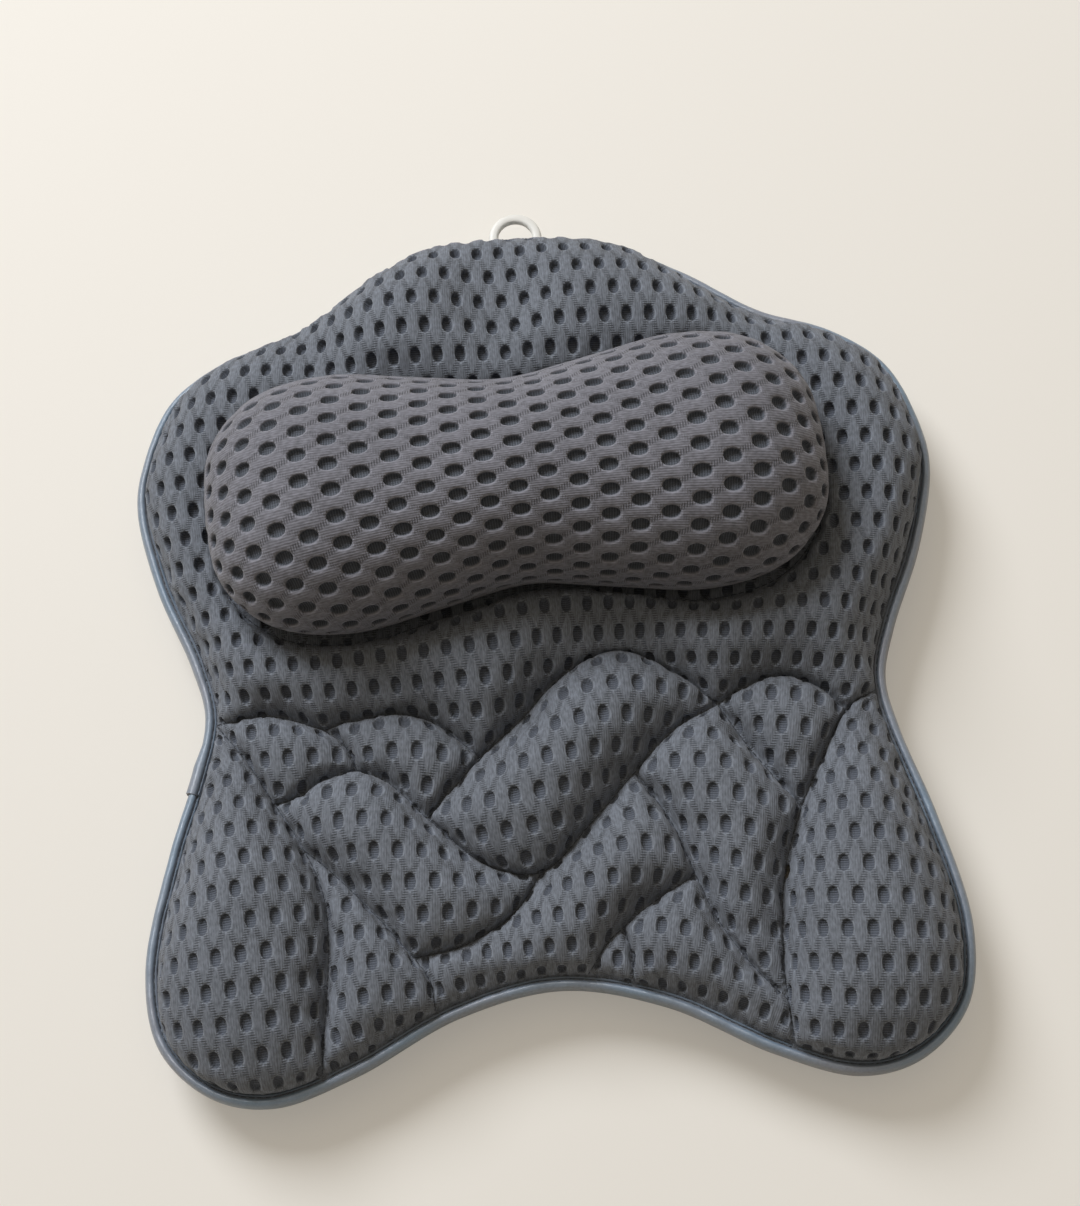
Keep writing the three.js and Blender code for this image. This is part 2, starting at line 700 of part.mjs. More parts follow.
function hangingRing() {
  const half = RING_WIDTH / 2 - RING_BEVEL;
  const top = RING_REACH + BAR_INSET - RING_BEVEL;
  const bottom = -RING_LEG / 2 + RING_BEVEL;
  const shape = dOutline(new THREE.Shape(), half, top, bottom);
  const thin = RING_LEG - 2 * RING_BEVEL;
  shape.holes.push(dOutline(new THREE.Path(), half - thin, top - thin, bottom + thin));
  const ring = new THREE.ExtrudeGeometry(shape, {
    depth: RING_THICKNESS - 2 * RING_BEVEL,
    bevelThickness: RING_BEVEL,
    bevelSize: RING_BEVEL,
    bevelSegments: 1,
    curveSegments: RING_ARCH_SEGMENTS,
  });
  return ring.translate(0, 0, RING_BEVEL - RING_THICKNESS / 2);
}

// Hook tab: webbing folded round the ring's bar, its two leaves sewn flat to the back cover
function hookTab() {
  const outer = loopRadius + WEBBING_THICKNESS;
  const leaves = outer - 2 * WEBBING_THICKNESS - GAP;
  const profile = new THREE.Shape();
  profile.moveTo(-TAB_LENGTH, outer).lineTo(-TAB_LENGTH, leaves);
  profile.lineTo(-2 * outer, leaves).lineTo(0, -outer);
  profile.absarc(0, 0, outer, -Math.PI / 2, Math.PI / 2, false).lineTo(-TAB_LENGTH, outer);
  profile.holes.push(new THREE.Path().absarc(0, 0, loopRadius, 0, Math.PI * 2, true));
  const width = RING_WIDTH - 2 * RING_LEG - 2 * SWIVEL_CLEARANCE;
  const tab = new THREE.ExtrudeGeometry(profile, {
    depth: width,
    bevelEnabled: false,
    curveSegments: RING_ARCH_SEGMENTS,
  });
  return tab.translate(0, 0, -width / 2).rotateY(Math.PI / 2).rotateX(Math.PI / 2);
}

// Assembly
function part(name, geometry, [color, roughness]) {
  const finish = new THREE.MeshStandardMaterial({ color, roughness, metalness: 0 });
  const piece = new THREE.Mesh(geometry, finish);
  piece.name = name;
  return piece;
}

const pillow = new THREE.Group();
pillow.add(part('front_cover', frontCover(), AIR_MESH));
pillow.add(part('panel_wadding', panelWadding(), WADDING));
pillow.add(part('back_cover', backCover(), AIR_MESH));
pillow.add(part('edge_binding', edgeBinding(), SATIN_TAPE));
pillow.add(part('neck_roll_cover', neckRollCover(), ROLL_MESH));
pillow.add(part('neck_roll_core', neckRollCore(), WADDING));

CUP_PLACES.forEach(([x, y], i) => {
  const set = new THREE.Group();
  set.position.set(x, y, 0);
  set.add(part(`suction_cup_${i + 1}`, suctionCup(), CLEAR_PVC));
  set.add(part(`eyelet_${i + 1}`, eyelet(), GREY_PLASTIC));
  set.add(part(`eyelet_washer_${i + 1}`, eyeletWasher(), GREY_PLASTIC));
  pillow.add(set);
});

const hanger = new THREE.Group();
hanger.position.set(RING_X, barY, barZ);
hanger.add(part('hanging_ring', hangingRing(), WHITE_PLASTIC));
hanger.add(part('hook_tab', hookTab(), WEBBING));
pillow.add(hanger);

// The origin lies under the middle of the whole length
const lowest = Math.min(...hemLoop.map((k) => knots[k].place.edge.y));
pillow.position.y = -(HEAD_END_Y + RING_REACH + lowest) / 2;

export default pillow;
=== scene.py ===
import math

import bmesh
import bpy
import numpy as np
from mathutils import Matrix, Vector, noise
from mathutils.bvhtree import BVHTree
from mathutils.geometry import delaunay_2d_cdt
from mathutils.kdtree import KDTree


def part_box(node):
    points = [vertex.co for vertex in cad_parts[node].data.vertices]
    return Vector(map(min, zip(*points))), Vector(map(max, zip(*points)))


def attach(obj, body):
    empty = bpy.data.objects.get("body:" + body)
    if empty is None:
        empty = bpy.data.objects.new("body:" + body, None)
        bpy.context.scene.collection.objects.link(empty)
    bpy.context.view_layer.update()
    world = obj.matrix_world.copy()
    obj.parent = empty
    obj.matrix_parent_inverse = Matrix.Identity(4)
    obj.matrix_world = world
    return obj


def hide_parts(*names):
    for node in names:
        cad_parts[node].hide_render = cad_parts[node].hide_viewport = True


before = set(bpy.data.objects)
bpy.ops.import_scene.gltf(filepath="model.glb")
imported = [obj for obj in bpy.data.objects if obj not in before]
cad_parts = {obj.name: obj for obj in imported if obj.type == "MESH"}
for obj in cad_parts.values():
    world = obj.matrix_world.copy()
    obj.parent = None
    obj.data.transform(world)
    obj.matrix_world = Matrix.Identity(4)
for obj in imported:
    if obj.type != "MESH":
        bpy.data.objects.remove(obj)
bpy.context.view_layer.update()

scene = bpy.context.scene

# Back cover: one flat cut of warp-knitted spacer mesh, two polyester faces held apart by pile yarn.
# Oval vents run through it in staggered rows. It is sewn to the front inside the edge binding,
# and it has a punched hole for each of the six eyelets.
MM = 0.001
HEAD_END = 202
PANEL_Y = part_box("edge_binding")[1].y - HEAD_END * MM
BACK_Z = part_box("back_cover")[0].z
HALF_OUTLINE = [
    (0, HEAD_END), (40, 197.5), (70, 183), (100, 163.5), (130, 152), (152, 134.5), (164, 104),
    (165.5, 86), (157, 51), (143, 17), (137.5, -4), (141, -25), (152, -61), (161, -106),
    (155.5, -136), (136, -155), (112, -160), (80, -150), (40, -130), (0, -121.5),
]
CUP_PLACES = [(-112, 112), (112, 112), (-72, 22), (72, 22), (-122, -106), (122, -106)]
EYELET_REACH = 12.6 * MM
EYELET_HOLE = 8.1 * MM
HEM_INSET = 5.3 * MM
PITCH = 9.25 * MM
ROW = 12.4 * MM
KNIT_CROWN = 0.38 * MM
VENT_DEPTH = 2.3 * MM
# A vent's rings, from the brim down to the foot: half its width, half its length and its height, in mm.
VENT_RINGS = [(3.35, 4.9, 0.34), (2.45, 3.7, 0.08), (2.2, 3.42, -0.45), (2.0, 3.2, -2.3)]
VENT_CUTS = 3
VENT_INSET = 0.1 * MM
PRESSED = 2.6 * MM
SEWN_BAND = 4.5 * MM
COVER_INSET = 1.6 * MM
SPLINE_STEPS = 30
KNIT_MERGE = 0.04 * MM
SLIVER = 0.01 * MM
EYELET_ROUND = 72
EYELET_SHARES = (0.25, 0.5, 0.75, 1)
KNIT_STEP = 0.95 * MM
FUZZ = 0.9 * MM
MOTTLE = 45 * MM
MESH_GREY = "#707680"
# The vents' feet are a darker grey: partly the pile yarn, partly painted shade.
VENT_FOOT_AND_SHADE_GREY = "#565c67"


def on_panel(x, y):
    """A point in millimetres from the panel's middle, as the part's own metres."""
    return Vector((x * MM, y * MM + PANEL_Y))


def smooth_line(points, closed=False, step=1.0 * MM):
    """Even short steps along a smooth curve through the points."""
    points = [Vector(p) for p in points]
    count = len(points)
    dense = []
    for i in range(count if closed else count - 1):
        b, c = points[i], points[(i + 1) % count]
        a = points[i - 1] if closed or i else 2 * b - c
        d = points[(i + 2) % count] if closed or i + 2 < count else 2 * c - b
        t1 = (b - a).length ** 0.5
        t2 = t1 + (c - b).length ** 0.5
        t3 = t2 + (d - c).length ** 0.5
        for k in range(SPLINE_STEPS):
            t = t1 + (t2 - t1) * k / SPLINE_STEPS
            ab, bc = a.lerp(b, t / t1), b.lerp(c, (t - t1) / (t2 - t1))
            cd = c.lerp(d, (t - t2) / (t3 - t2))
            abc, bcd = ab.lerp(bc, t / t2), bc.lerp(cd, (t - t1) / (t3 - t1))
            dense.append(abc.lerp(bcd, (t - t1) / (t2 - t1)))
    dense.append(dense[0] if closed else points[-1])
    reach = [0.0]
    for p, q in zip(dense, dense[1:]):
        reach.append(reach[-1] + (q - p).length)
    steps = max(2, round(reach[-1] / step))
    line, k = [], 0
    for i in range(steps + 1):
        place = reach[-1] * i / steps
        while k + 2 < len(dense) and reach[k + 1] < place:
            k += 1
        line.append(dense[k].lerp(dense[k + 1], (place - reach[k]) / (reach[k + 1] - reach[k])))
    return line


def inward(line):
    """The inward direction at each point of a closed counter-clockwise line."""
    last = len(line) - 1
    steps = [(line[(i + 1) % last] - line[(i - 1) % last]).normalized() for i in range(last)]
    sides = [Vector((-s.y, s.x)) for s in steps]
    return sides + [sides[0]]


def drawn_in(line, inset):
    """A closed counter-clockwise line moved inwards."""
    return [p + n * inset for p, n in zip(line, inward(line))]


def box_of(points):
    """The lowest and the highest corner of the box round flat points."""
    return [Vector((pick(p.x for p in points), pick(p.y for p in points))) for pick in (min, max)]


def at_height(p, z):
    """A flat point raised to a height."""
    return Vector((p.x, p.y, z))


def point_tree(points):
    """A search tree over flat points."""
    tree = KDTree(len(points))
    for i, p in enumerate(points):
        tree.insert((p.x, p.y, 0), i)
    tree.balance()
    return tree


half = [on_panel(x, y) for x, y in HALF_OUTLINE]
other_half = [on_panel(-x, y) for x, y in HALF_OUTLINE[1:-1]]
panel_edge = smooth_line((half + other_half[::-1])[::-1], closed=True)
cup_places = [on_panel(x, y) for x, y in CUP_PLACES]


def vent_tile(pitch, row, rings):
    """One vent of the knit, modelled from a plane, and the next row's vent half a pitch along."""
    bpy.ops.object.select_all(action="DESELECT")
    bpy.ops.mesh.primitive_plane_add(size=1, location=(0, 0, KNIT_CROWN))
    tile = bpy.context.object
    tile.scale = (pitch, row, 1)
    bpy.ops.object.transform_apply(location=True, rotation=False, scale=True)
    bpy.ops.object.mode_set(mode="EDIT")
    bpy.ops.mesh.select_mode(type="FACE")
    bpy.ops.mesh.select_all(action="SELECT")
    bpy.ops.mesh.subdivide(number_cuts=VENT_CUTS)
    bpy.ops.mesh.dissolve_faces()
    wide, tall = pitch, row
    for ring_wide, ring_tall, ring_height in rings:
        bpy.ops.mesh.inset(thickness=VENT_INSET)
        shaped = bmesh.from_edit_mesh(tile.data)
        for v in shaped.verts:
            if v.select:
                turn = math.atan2(v.co.y / tall, v.co.x / wide)
                v.co = (ring_wide * MM * math.cos(turn), ring_tall * MM * math.sin(turn), ring_height * MM)
        bmesh.update_edit_mesh(tile.data)
        wide, tall = ring_wide, ring_tall
    bpy.ops.mesh.select_all(action="SELECT")
    bpy.ops.mesh.duplicate_move(TRANSFORM_OT_translate={"value": (pitch / 2, row, 0)})
    bpy.ops.object.mode_set(mode="OBJECT")
    return tile


def edit_all(operator, **settings):
    """Runs an edit-mode operator on the whole of the active piece."""
    bpy.ops.object.mode_set(mode="EDIT")
    bpy.ops.mesh.select_all(action="SELECT")
    operator(**settings)
    bpy.ops.object.mode_set(mode="OBJECT")


def vent_lattice(name, pitch, row, rings, low, high):
    """A flat lattice of vents that covers the box from low to high."""
    sheet = vent_tile(pitch, row, rings)
    sheet.name = sheet.data.name = name
    first = [math.floor(low.x / pitch) - 1, math.floor(low.y / (2 * row)) - 1]
    sheet.location = (first[0] * pitch, first[1] * 2 * row, 0)
    bpy.ops.object.transform_apply(location=True, rotation=False, scale=False)
    for step, axis, reach in ((pitch, 0, high.x), (2 * row, 1, high.y)):
        repeat = sheet.modifiers.new("repeat", "ARRAY")
        repeat.use_relative_offset = False
        repeat.use_constant_offset = True
        repeat.constant_offset_displace = [step if k == axis else 0 for k in range(3)]
        repeat.count = math.ceil(reach / step) + 1 - first[axis]
        bpy.ops.object.modifier_apply(modifier=repeat.name)
    edit_all(bpy.ops.mesh.remove_doubles, threshold=SLIVER)
    return sheet


def flat_share(p, a, b, c):
    """How much of each corner of a flat triangle a point takes."""
    whole = (b - a).cross(c - a)
    first = (b - p).cross(c - p) / whole
    second = (c - p).cross(a - p) / whole
    return first, second, 1 - first - second


def mixed(places, face, share):
    """What a point has of its triangle's corners, by its share of each."""
    return sum((places[k] * s for k, s in zip(face, share)), places[0] * 0)


def lay_on(sheet, cut, cloth, faces, edge, sewn, catch, loft=None):
    """Trims a flat lattice to a cloth's edge, draws it to the sewn points within catch and lays it on.
    Where the knit isn't of one depth, loft gives the share of its depth that a vent has at a point."""
    lookup = BVHTree.FromPolygons([(p.x, p.y, 0) for p in cut], faces)
    facing = [Vector((0, 0, 0)) for _ in cloth]
    for a, b, c in faces:
        tilt = (cloth[b] - cloth[a]).cross(cloth[c] - cloth[a])
        for k in (a, b, c):
            facing[k] += tilt
    facing = [tilt.normalized() for tilt in facing]
    edge_tree, edge_inward = point_tree(edge), inward(edge)
    sewn_tree = point_tree(sewn) if sewn else None
    knit = bmesh.new()
    knit.from_mesh(sheet.data)
    if catch:
        beside = {v for v in knit.verts
                  if v.co.z > 0 and sewn_tree.find((v.co.x, v.co.y, 0))[2] < SEWN_BAND}
        fine = [e for e in knit.edges if e.verts[0] in beside and e.verts[1] in beside]
        bmesh.ops.subdivide_edges(knit, edges=fine, cuts=1, use_grid_fill=True)
    pattern = knit.verts.layers.float_vector.new("knit")
    outside = set()
    for v in knit.verts:
        p = v.co.xy
        own = p.copy()
        nearest = edge_tree.find((p.x, p.y, 0))[1]
        room = (p - edge[nearest]).dot(edge_inward[nearest])
        if room < 0:
            outside.add(v)
            p, room = edge[nearest], 0
        if sewn:
            _, nearest, distance = sewn_tree.find((p.x, p.y, 0))
            if distance < catch and room > 0:
                p, distance = sewn[nearest], 0
            room = min(room, distance)
        height = v.co.z * min(room / PRESSED, 1)
        if loft and height < 0:
            height *= loft(own)
        v[pattern] = (own.x, own.y, min(max(-height / VENT_DEPTH, 0), 1))
        face = faces[lookup.find_nearest((p.x, p.y, 0))[2]]
        share = flat_share(p, *(cut[k] for k in face))
        v.co = mixed(cloth, face, share) + mixed(facing, face, share).normalized() * height
    spare = [f for f in knit.faces if all(v in outside for v in f.verts)]
    bmesh.ops.delete(knit, geom=spare, context="FACES")
    bmesh.ops.remove_doubles(knit, verts=knit.verts, dist=KNIT_MERGE)
    bmesh.ops.dissolve_degenerate(knit, edges=knit.edges, dist=SLIVER)
    knit.to_mesh(sheet.data)
    knit.free()
    sheet.data.shade_smooth()


def srgb(code):
    """A linear colour from an sRGB hex value."""
    levels = [int(code[i:i + 2], 16) / 255 for i in (1, 3, 5)]
    return [c / 12.92 if c <= 0.04045 else ((c + 0.055) / 1.055) ** 2.4 for c in levels] + [1]


def node(material, kind, inputs=None, output=0, **settings):
    """Adds a shader node with its settings and links, and gives one of its outputs."""
    made = material.node_tree.nodes.new("ShaderNode" + kind)
    for key, value in settings.items():
        setattr(made, key, value)
    for socket, value in (inputs or {}).items():
        if isinstance(value, bpy.types.NodeSocket):
            material.node_tree.links.new(value, made.inputs[socket])
        else:
            made.inputs[socket].default_value = value
    return made.outputs[output] if made.outputs else None


def new_material(name):
    """A material with no nodes yet."""
    made = bpy.data.materials.new(name)
    made.use_nodes = True
    made.node_tree.nodes.clear()
    return made


def shade(material, colour, relief, strength, depth, sockets):
    """Gives a material its shader: a colour, a bump of some depth from its relief, and other settings."""
    bump = node(material, "Bump", {"Height": relief, "Strength": strength, "Distance": depth})
    shader = node(material, "BsdfPrincipled", {"Base Color": colour, "Normal": bump, **sockets})
    node(material, "OutputMaterial", {"Surface": shader})


def spacer_mesh(name, yarn, vent_foot_and_shade, pitch, row, rings, rising_share):
    """Warp-knitted polyester spacer mesh: matt, with ladders of slits from vent to vent and fine wales."""
    cloth = new_material(name)
    place = node(cloth, "Attribute", output="Vector", attribute_name="knit")
    grid = node(cloth, "VectorMath", {0: place, 1: (2 / pitch, 1 / row, 1)}, operation="MULTIPLY")
    across, along, depth = (node(cloth, "SeparateXYZ", {0: grid}, output=axis) for axis in "XYZ")
    # Ladders of short strokes run from vent to vent, about 2.4 mm wide, with a stroke every 0.95 mm.
    ladders = []
    for slope, share in (("ADD", 1.0), ("SUBTRACT", rising_share)):
        aslant = node(cloth, "Math", {0: across, 1: along}, operation=slope)
        aslant = node(cloth, "Math", {0: aslant, 1: 1.0}, operation="PINGPONG")
        ladders.append(node(cloth, "MapRange", {0: aslant, 1: 0.12, 2: 0.36, 3: share, 4: 0.0},
                            interpolation_type="SMOOTHSTEP"))
    ladder = node(cloth, "Math", {0: ladders[0], 1: ladders[1]}, operation="MAXIMUM")
    rung = node(cloth, "Math", {0: along, 1: math.tau * row / KNIT_STEP}, operation="MULTIPLY")
    rung = node(cloth, "Math", {0: rung}, operation="SINE")
    rung = node(cloth, "MapRange", {0: rung, 1: -0.4, 2: 0.6})
    slit = node(cloth, "Math", {0: ladder, 1: rung}, operation="MULTIPLY")
    # Wales stand 0.95 mm apart and run along the cloth.
    rib = node(cloth, "Math", {0: across, 1: math.pi * pitch / KNIT_STEP}, operation="MULTIPLY")
    rib = node(cloth, "Math", {0: rib}, operation="SINE")
    drawn = node(cloth, "Mapping", {"Vector": place, "Scale": (1, 0.4, 1)})
    fuzz = node(cloth, "TexNoise", {"Vector": drawn, "Scale": 1 / FUZZ, "Detail": 3.0})
    mottle = node(cloth, "TexNoise", {"Vector": place, "Scale": 1 / MOTTLE, "Detail": 2.0})
    light, foot_and_shade_grey = srgb(yarn), srgb(vent_foot_and_shade)
    tone = node(cloth, "MapRange", {0: mottle, 1: 0.3, 2: 0.7, 3: 0.9, 4: 1.08})
    tone = node(cloth, "Math", {0: rib, 1: 0.06, 2: tone}, operation="MULTIPLY_ADD")
    grain = node(cloth, "MapRange", {0: fuzz, 1: 0.3, 2: 0.7, 3: -0.27, 4: 0.27})
    tone = node(cloth, "Math", {0: tone, 1: grain}, operation="ADD")
    # Each vent's mouth has a narrow light rim round it: a painted highlight.
    mouth_wide, mouth_tall = rings[1][0] * MM, rings[1][1] * MM
    painted_rim_highlights = []
    for middle in (0, 1):
        away = []
        for way, mouths in ((across, pitch / 2 / mouth_wide), (along, row / mouth_tall)):
            apart = node(cloth, "Math", {0: way, 1: 1.0}, operation="PINGPONG")
            apart = node(cloth, "Math", {0: apart, 1: middle}, operation="SUBTRACT")
            away.append(node(cloth, "Math", {0: apart, 1: mouths}, operation="MULTIPLY"))
        spot = node(cloth, "CombineXYZ", {0: away[0], 1: away[1]})
        reach = node(cloth, "VectorMath", {0: spot}, output="Value", operation="LENGTH")
        off_rim = node(cloth, "Math", {0: reach, 1: 1.03}, operation="SUBTRACT")
        off_rim = node(cloth, "Math", {0: off_rim}, operation="ABSOLUTE")
        painted_rim_highlights.append(node(cloth, "MapRange", {0: off_rim, 1: 0.02, 2: 0.16, 3: 1.0, 4: 0.0}))
    painted_rim_highlight = node(cloth, "Math", {0: painted_rim_highlights[0], 1: painted_rim_highlights[1]}, operation="MAXIMUM")
    # Painted highlight: the tone is lifted on the narrow rim round each vent's mouth.
    tone = node(cloth, "Math", {0: painted_rim_highlight, 1: 0.3, 2: tone}, operation="MULTIPLY_ADD")
    slit_shade = node(cloth, "Math", {0: slit, 1: -0.5, 2: 1.0}, operation="MULTIPLY_ADD")
    tone = node(cloth, "Math", {0: tone, 1: slit_shade}, operation="MULTIPLY")
    face = node(cloth, "VectorMath", {0: light[:3], "Scale": tone}, operation="SCALE")
    # Down into a vent the colour turns to the foot's darker grey: partly the pile yarn, partly painted
    # shade.
    sunk = node(cloth, "MapRange", {0: depth, 1: 0.02, 2: 0.5}, interpolation_type="SMOOTHSTEP")
    # The pile yarn between the two faces is seen at the foot of a vent as fine light and dark threads.
    pile = node(cloth, "MapRange", {0: rung, 3: 0.78, 4: 1.25})
    foot = node(cloth, "VectorMath", {0: foot_and_shade_grey[:3], "Scale": pile}, operation="SCALE")
    colour = node(cloth, "Mix", {0: sunk, 6: face, 7: foot}, output=2, data_type="RGBA")
    relief = node(cloth, "Math", {0: slit, 1: -1.0}, operation="MULTIPLY")
    relief = node(cloth, "Math", {0: rib, 1: 0.22, 2: relief}, operation="MULTIPLY_ADD")
    relief = node(cloth, "Math", {0: fuzz, 1: 0.5, 2: relief}, operation="MULTIPLY_ADD")
    shade(cloth, colour, relief, 0.6, 0.35 * MM, {
        "Roughness": 0.85, "Specular IOR Level": 0.3, "Sheen Weight": 0.12, "Sheen Roughness": 0.5})
    return cloth


cover_edge = drawn_in(panel_edge, COVER_INSET)
back_outline = cover_edge[:-1:3]
flat_edges = [(i, (i + 1) % len(back_outline)) for i in range(len(back_outline))]
back_cut, _, back_faces, *_ = delaunay_2d_cdt(back_outline, flat_edges, [], 1, 1e-6)
back_faces = [tuple(reversed(f)) for f in back_faces]
back_shape = [at_height(p, BACK_Z) for p in back_cut]
corner_low, corner_high = box_of(cover_edge)
back_cover = vent_lattice("back_mesh", PITCH, ROW, VENT_RINGS, corner_low, corner_high)
hem_points = drawn_in(panel_edge, HEM_INSET)
eyelet_points = [c + Vector((math.cos(a), math.sin(a))) * EYELET_REACH * r for c in cup_places
                 for a in (math.tau * k / EYELET_ROUND for k in range(EYELET_ROUND)) for r in EYELET_SHARES]
lay_on(back_cover, back_cut, back_shape, back_faces, cover_edge, hem_points + eyelet_points, 0)
punched = bmesh.new()
punched.from_mesh(back_cover.data)
bmesh.ops.delete(punched, geom=[f for f in punched.faces if any(
    (f.calc_center_median().xy - c).length < EYELET_HOLE for c in cup_places)], context="FACES")
bmesh.ops.reverse_faces(punched, faces=punched.faces)
punched.to_mesh(back_cover.data)
punched.free()
air_mesh = spacer_mesh("knitted_spacer_mesh", MESH_GREY, VENT_FOOT_AND_SHADE_GREY, PITCH, ROW, VENT_RINGS, 1.0)
back_cover.data.materials.append(air_mesh)
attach(back_cover, "pillow")
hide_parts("back_cover")

# Eyelets: six grey moulded collars pushed up through the holes in the back cover, each held by a washer.
# Each has a flange under the cover and a barrel that a suction cup's neck runs in.
# Their profiles are radii and heights in millimetres.
EYELET_PROFILE = [
    (6.6, 0.25), (6.85, 0), (9.2, 0), (9.4, 0.2), (9.9, 0.2), (10.1, 0), (11.5, 0), (11.85, 0.15),
    (12, 0.45), (12, 0.75), (11.85, 1.05), (11.5, 1.2), (8.3, 1.2), (7.95, 1.3), (7.8, 1.6),
    (7.8, 5.1), (7.5, 5.4), (6.9, 5.4), (6.6, 5.1)]
WASHER_PROFILE = [
    (8.1, 0.2), (8.3, 0), (11.6, 0), (11.9, 0.12), (12, 0.4), (12, 0.8), (11.9, 1.08), (11.6, 1.2),
    (8.3, 1.2), (8.1, 1)]
TURN_STEPS = 64
TURN_MERGE = 0.005 * MM
CREASE = math.radians(40)
EYELET_GREY = "#b5b8bb"


def new_mesh(name, points, faces, edges=()):
    """A mesh object of points and faces, linked and selected alone."""
    data = bpy.data.meshes.new(name)
    data.from_pydata(points, edges, faces)
    piece = bpy.data.objects.new(name, data)
    scene.collection.objects.link(piece)
    bpy.ops.object.select_all(action="DESELECT")
    piece.select_set(True)
    bpy.context.view_layer.objects.active = piece
    return piece


def turned(name, node_name, profile, closed):
    """A piece turned from its profile about the upright axis of the node that it stands for."""
    low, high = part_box(node_name)
    middle = (low + high) / 2
    count = len(profile)
    sides = [(i, (i + 1) % count) for i in range(count if closed else count - 1)]
    points = [(middle.x + r * MM, middle.y, low.z + z * MM) for r, z in profile]
    piece = new_mesh(name, points, [], sides)
    edit_all(bpy.ops.mesh.spin, steps=TURN_STEPS, angle=math.tau, center=(middle.x, middle.y, 0),
             axis=(0, 0, 1))
    edit_all(bpy.ops.mesh.remove_doubles, threshold=TURN_MERGE)
    edit_all(bpy.ops.mesh.normals_make_consistent, inside=False)
    bpy.ops.object.shade_smooth_by_angle(angle=CREASE)
    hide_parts(node_name)
    return piece


# Faint clouding and a fine grain in the plastic keep its highlights soft and uneven.
moulded = new_material("grey_moulded_plastic")
place = node(moulded, "TexCoord", output="Object")
cloudy = node(moulded, "TexNoise", {"Vector": place, "Scale": 1 / (6 * MM), "Detail": 4.0})
grain = node(moulded, "TexNoise", {"Vector": place, "Scale": 1 / (0.35 * MM), "Detail": 2.0})
tone = node(moulded, "MapRange", {0: cloudy, 1: 0.3, 2: 0.7, 3: 0.93, 4: 1.04})
colour = node(moulded, "VectorMath", {0: srgb(EYELET_GREY)[:3], "Scale": tone}, operation="SCALE")
gloss = node(moulded, "MapRange", {0: cloudy, 1: 0.3, 2: 0.7, 3: 0.38, 4: 0.52})
shade(moulded, colour, grain, 0.3, 0.06 * MM, {"Roughness": gloss})
for i in range(1, 7):
    for kind, profile in (("eyelet", EYELET_PROFILE), ("eyelet_washer", WASHER_PROFILE)):
        collar = turned(f"moulded_{kind}_{i}", f"{kind}_{i}", profile, closed=True)
        collar.data.materials.append(moulded)
        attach(collar, "pillow")

# Suction cups: six mushroom-headed cups of clear soft PVC, each moulded in one shot, with two faint rings
# on its bell. The neck is snapped through an eyelet, so that the cup turns freely in it while its rim
# grips a smooth wall.
CUP_HOLLOW = (25, 10.5)
CUP_RIM = [(25.05, 0.2), (25.3, 0.04), (25.7, 0), (27, 0), (27.35, 0.15), (27.5, 0.5), (27.5, 1.2)]
CUP_BELL = ((27.45, 1.6), (9.5, 13.7))
CUP_RINGS = [(0.38, 0.22), (0.62, 0.22)]
CUP_NECK = [
    (9.5, 17.8), (9.35, 18.1), (9, 18.2), (6.6, 18.2), (6.3, 18.3), (6.2, 18.6), (6.2, 23.8), (6.3, 24.1),
    (6.6, 24.2), (9, 24.2), (9.35, 24.3), (9.5, 24.6)]
CUP_HEAD = ((9.5, 25.7), (0, 28.7))
HOLLOW_STEPS = 15
BELL_STEPS = 40
HEAD_STEPS = 10
CUP_RING_SPREAD = 0.03
PVC = "#dfe9ea"


def dome(start, end, steps, ridges=()):
    """A profile that rises steeply at its start and ends level, with small ridges at their shares of it."""
    (wide, low), (narrow, high) = start, end
    shares = [k / steps for k in range(steps + 1)]
    ridged = [sum(size * math.exp(-((t - at) / CUP_RING_SPREAD) ** 2) for at, size in ridges)
              for t in shares]
    return [(wide + (narrow - wide) * t, low + (high - low) * math.sin(t * math.pi / 2) + raised)
            for t, raised in zip(shares, ridged)]


cup_hollow = [(CUP_HOLLOW[0] * t, CUP_HOLLOW[1] * math.cos(t * math.pi / 2))
              for t in (k / HOLLOW_STEPS for k in range(HOLLOW_STEPS + 1))]
cup_profile = (cup_hollow + CUP_RIM + dome(*CUP_BELL, BELL_STEPS, CUP_RINGS) + CUP_NECK
               + dome(*CUP_HEAD, HEAD_STEPS))
# Soft PVC is clear with a slight haze, so that the eyelet shows through it, dulled.
pvc = new_material("clear_soft_pvc")
place = node(pvc, "TexCoord", output="Object")
haze = node(pvc, "TexNoise", {"Vector": place, "Scale": 1 / (7 * MM), "Detail": 3.0})
specks = node(pvc, "TexNoise", {"Vector": place, "Scale": 1 / (1.2 * MM), "Detail": 2.0})
gloss = node(pvc, "MapRange", {0: haze, 1: 0.3, 2: 0.7, 3: 0.1, 4: 0.22})
tone = node(pvc, "MapRange", {0: haze, 1: 0.3, 2: 0.7, 3: 0.95, 4: 1.0})
colour = node(pvc, "VectorMath", {0: srgb(PVC)[:3], "Scale": tone}, operation="SCALE")
shade(pvc, colour, specks, 0.15, 0.1 * MM, {"Roughness": gloss, "IOR": 1.53, "Transmission Weight": 0.7})
for i in range(1, 7):
    cup = turned(f"clear_cup_{i}", f"suction_cup_{i}", cup_profile, closed=False)
    cup.data.materials.append(pvc)
    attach(cup, f"suction_cup_{i}")

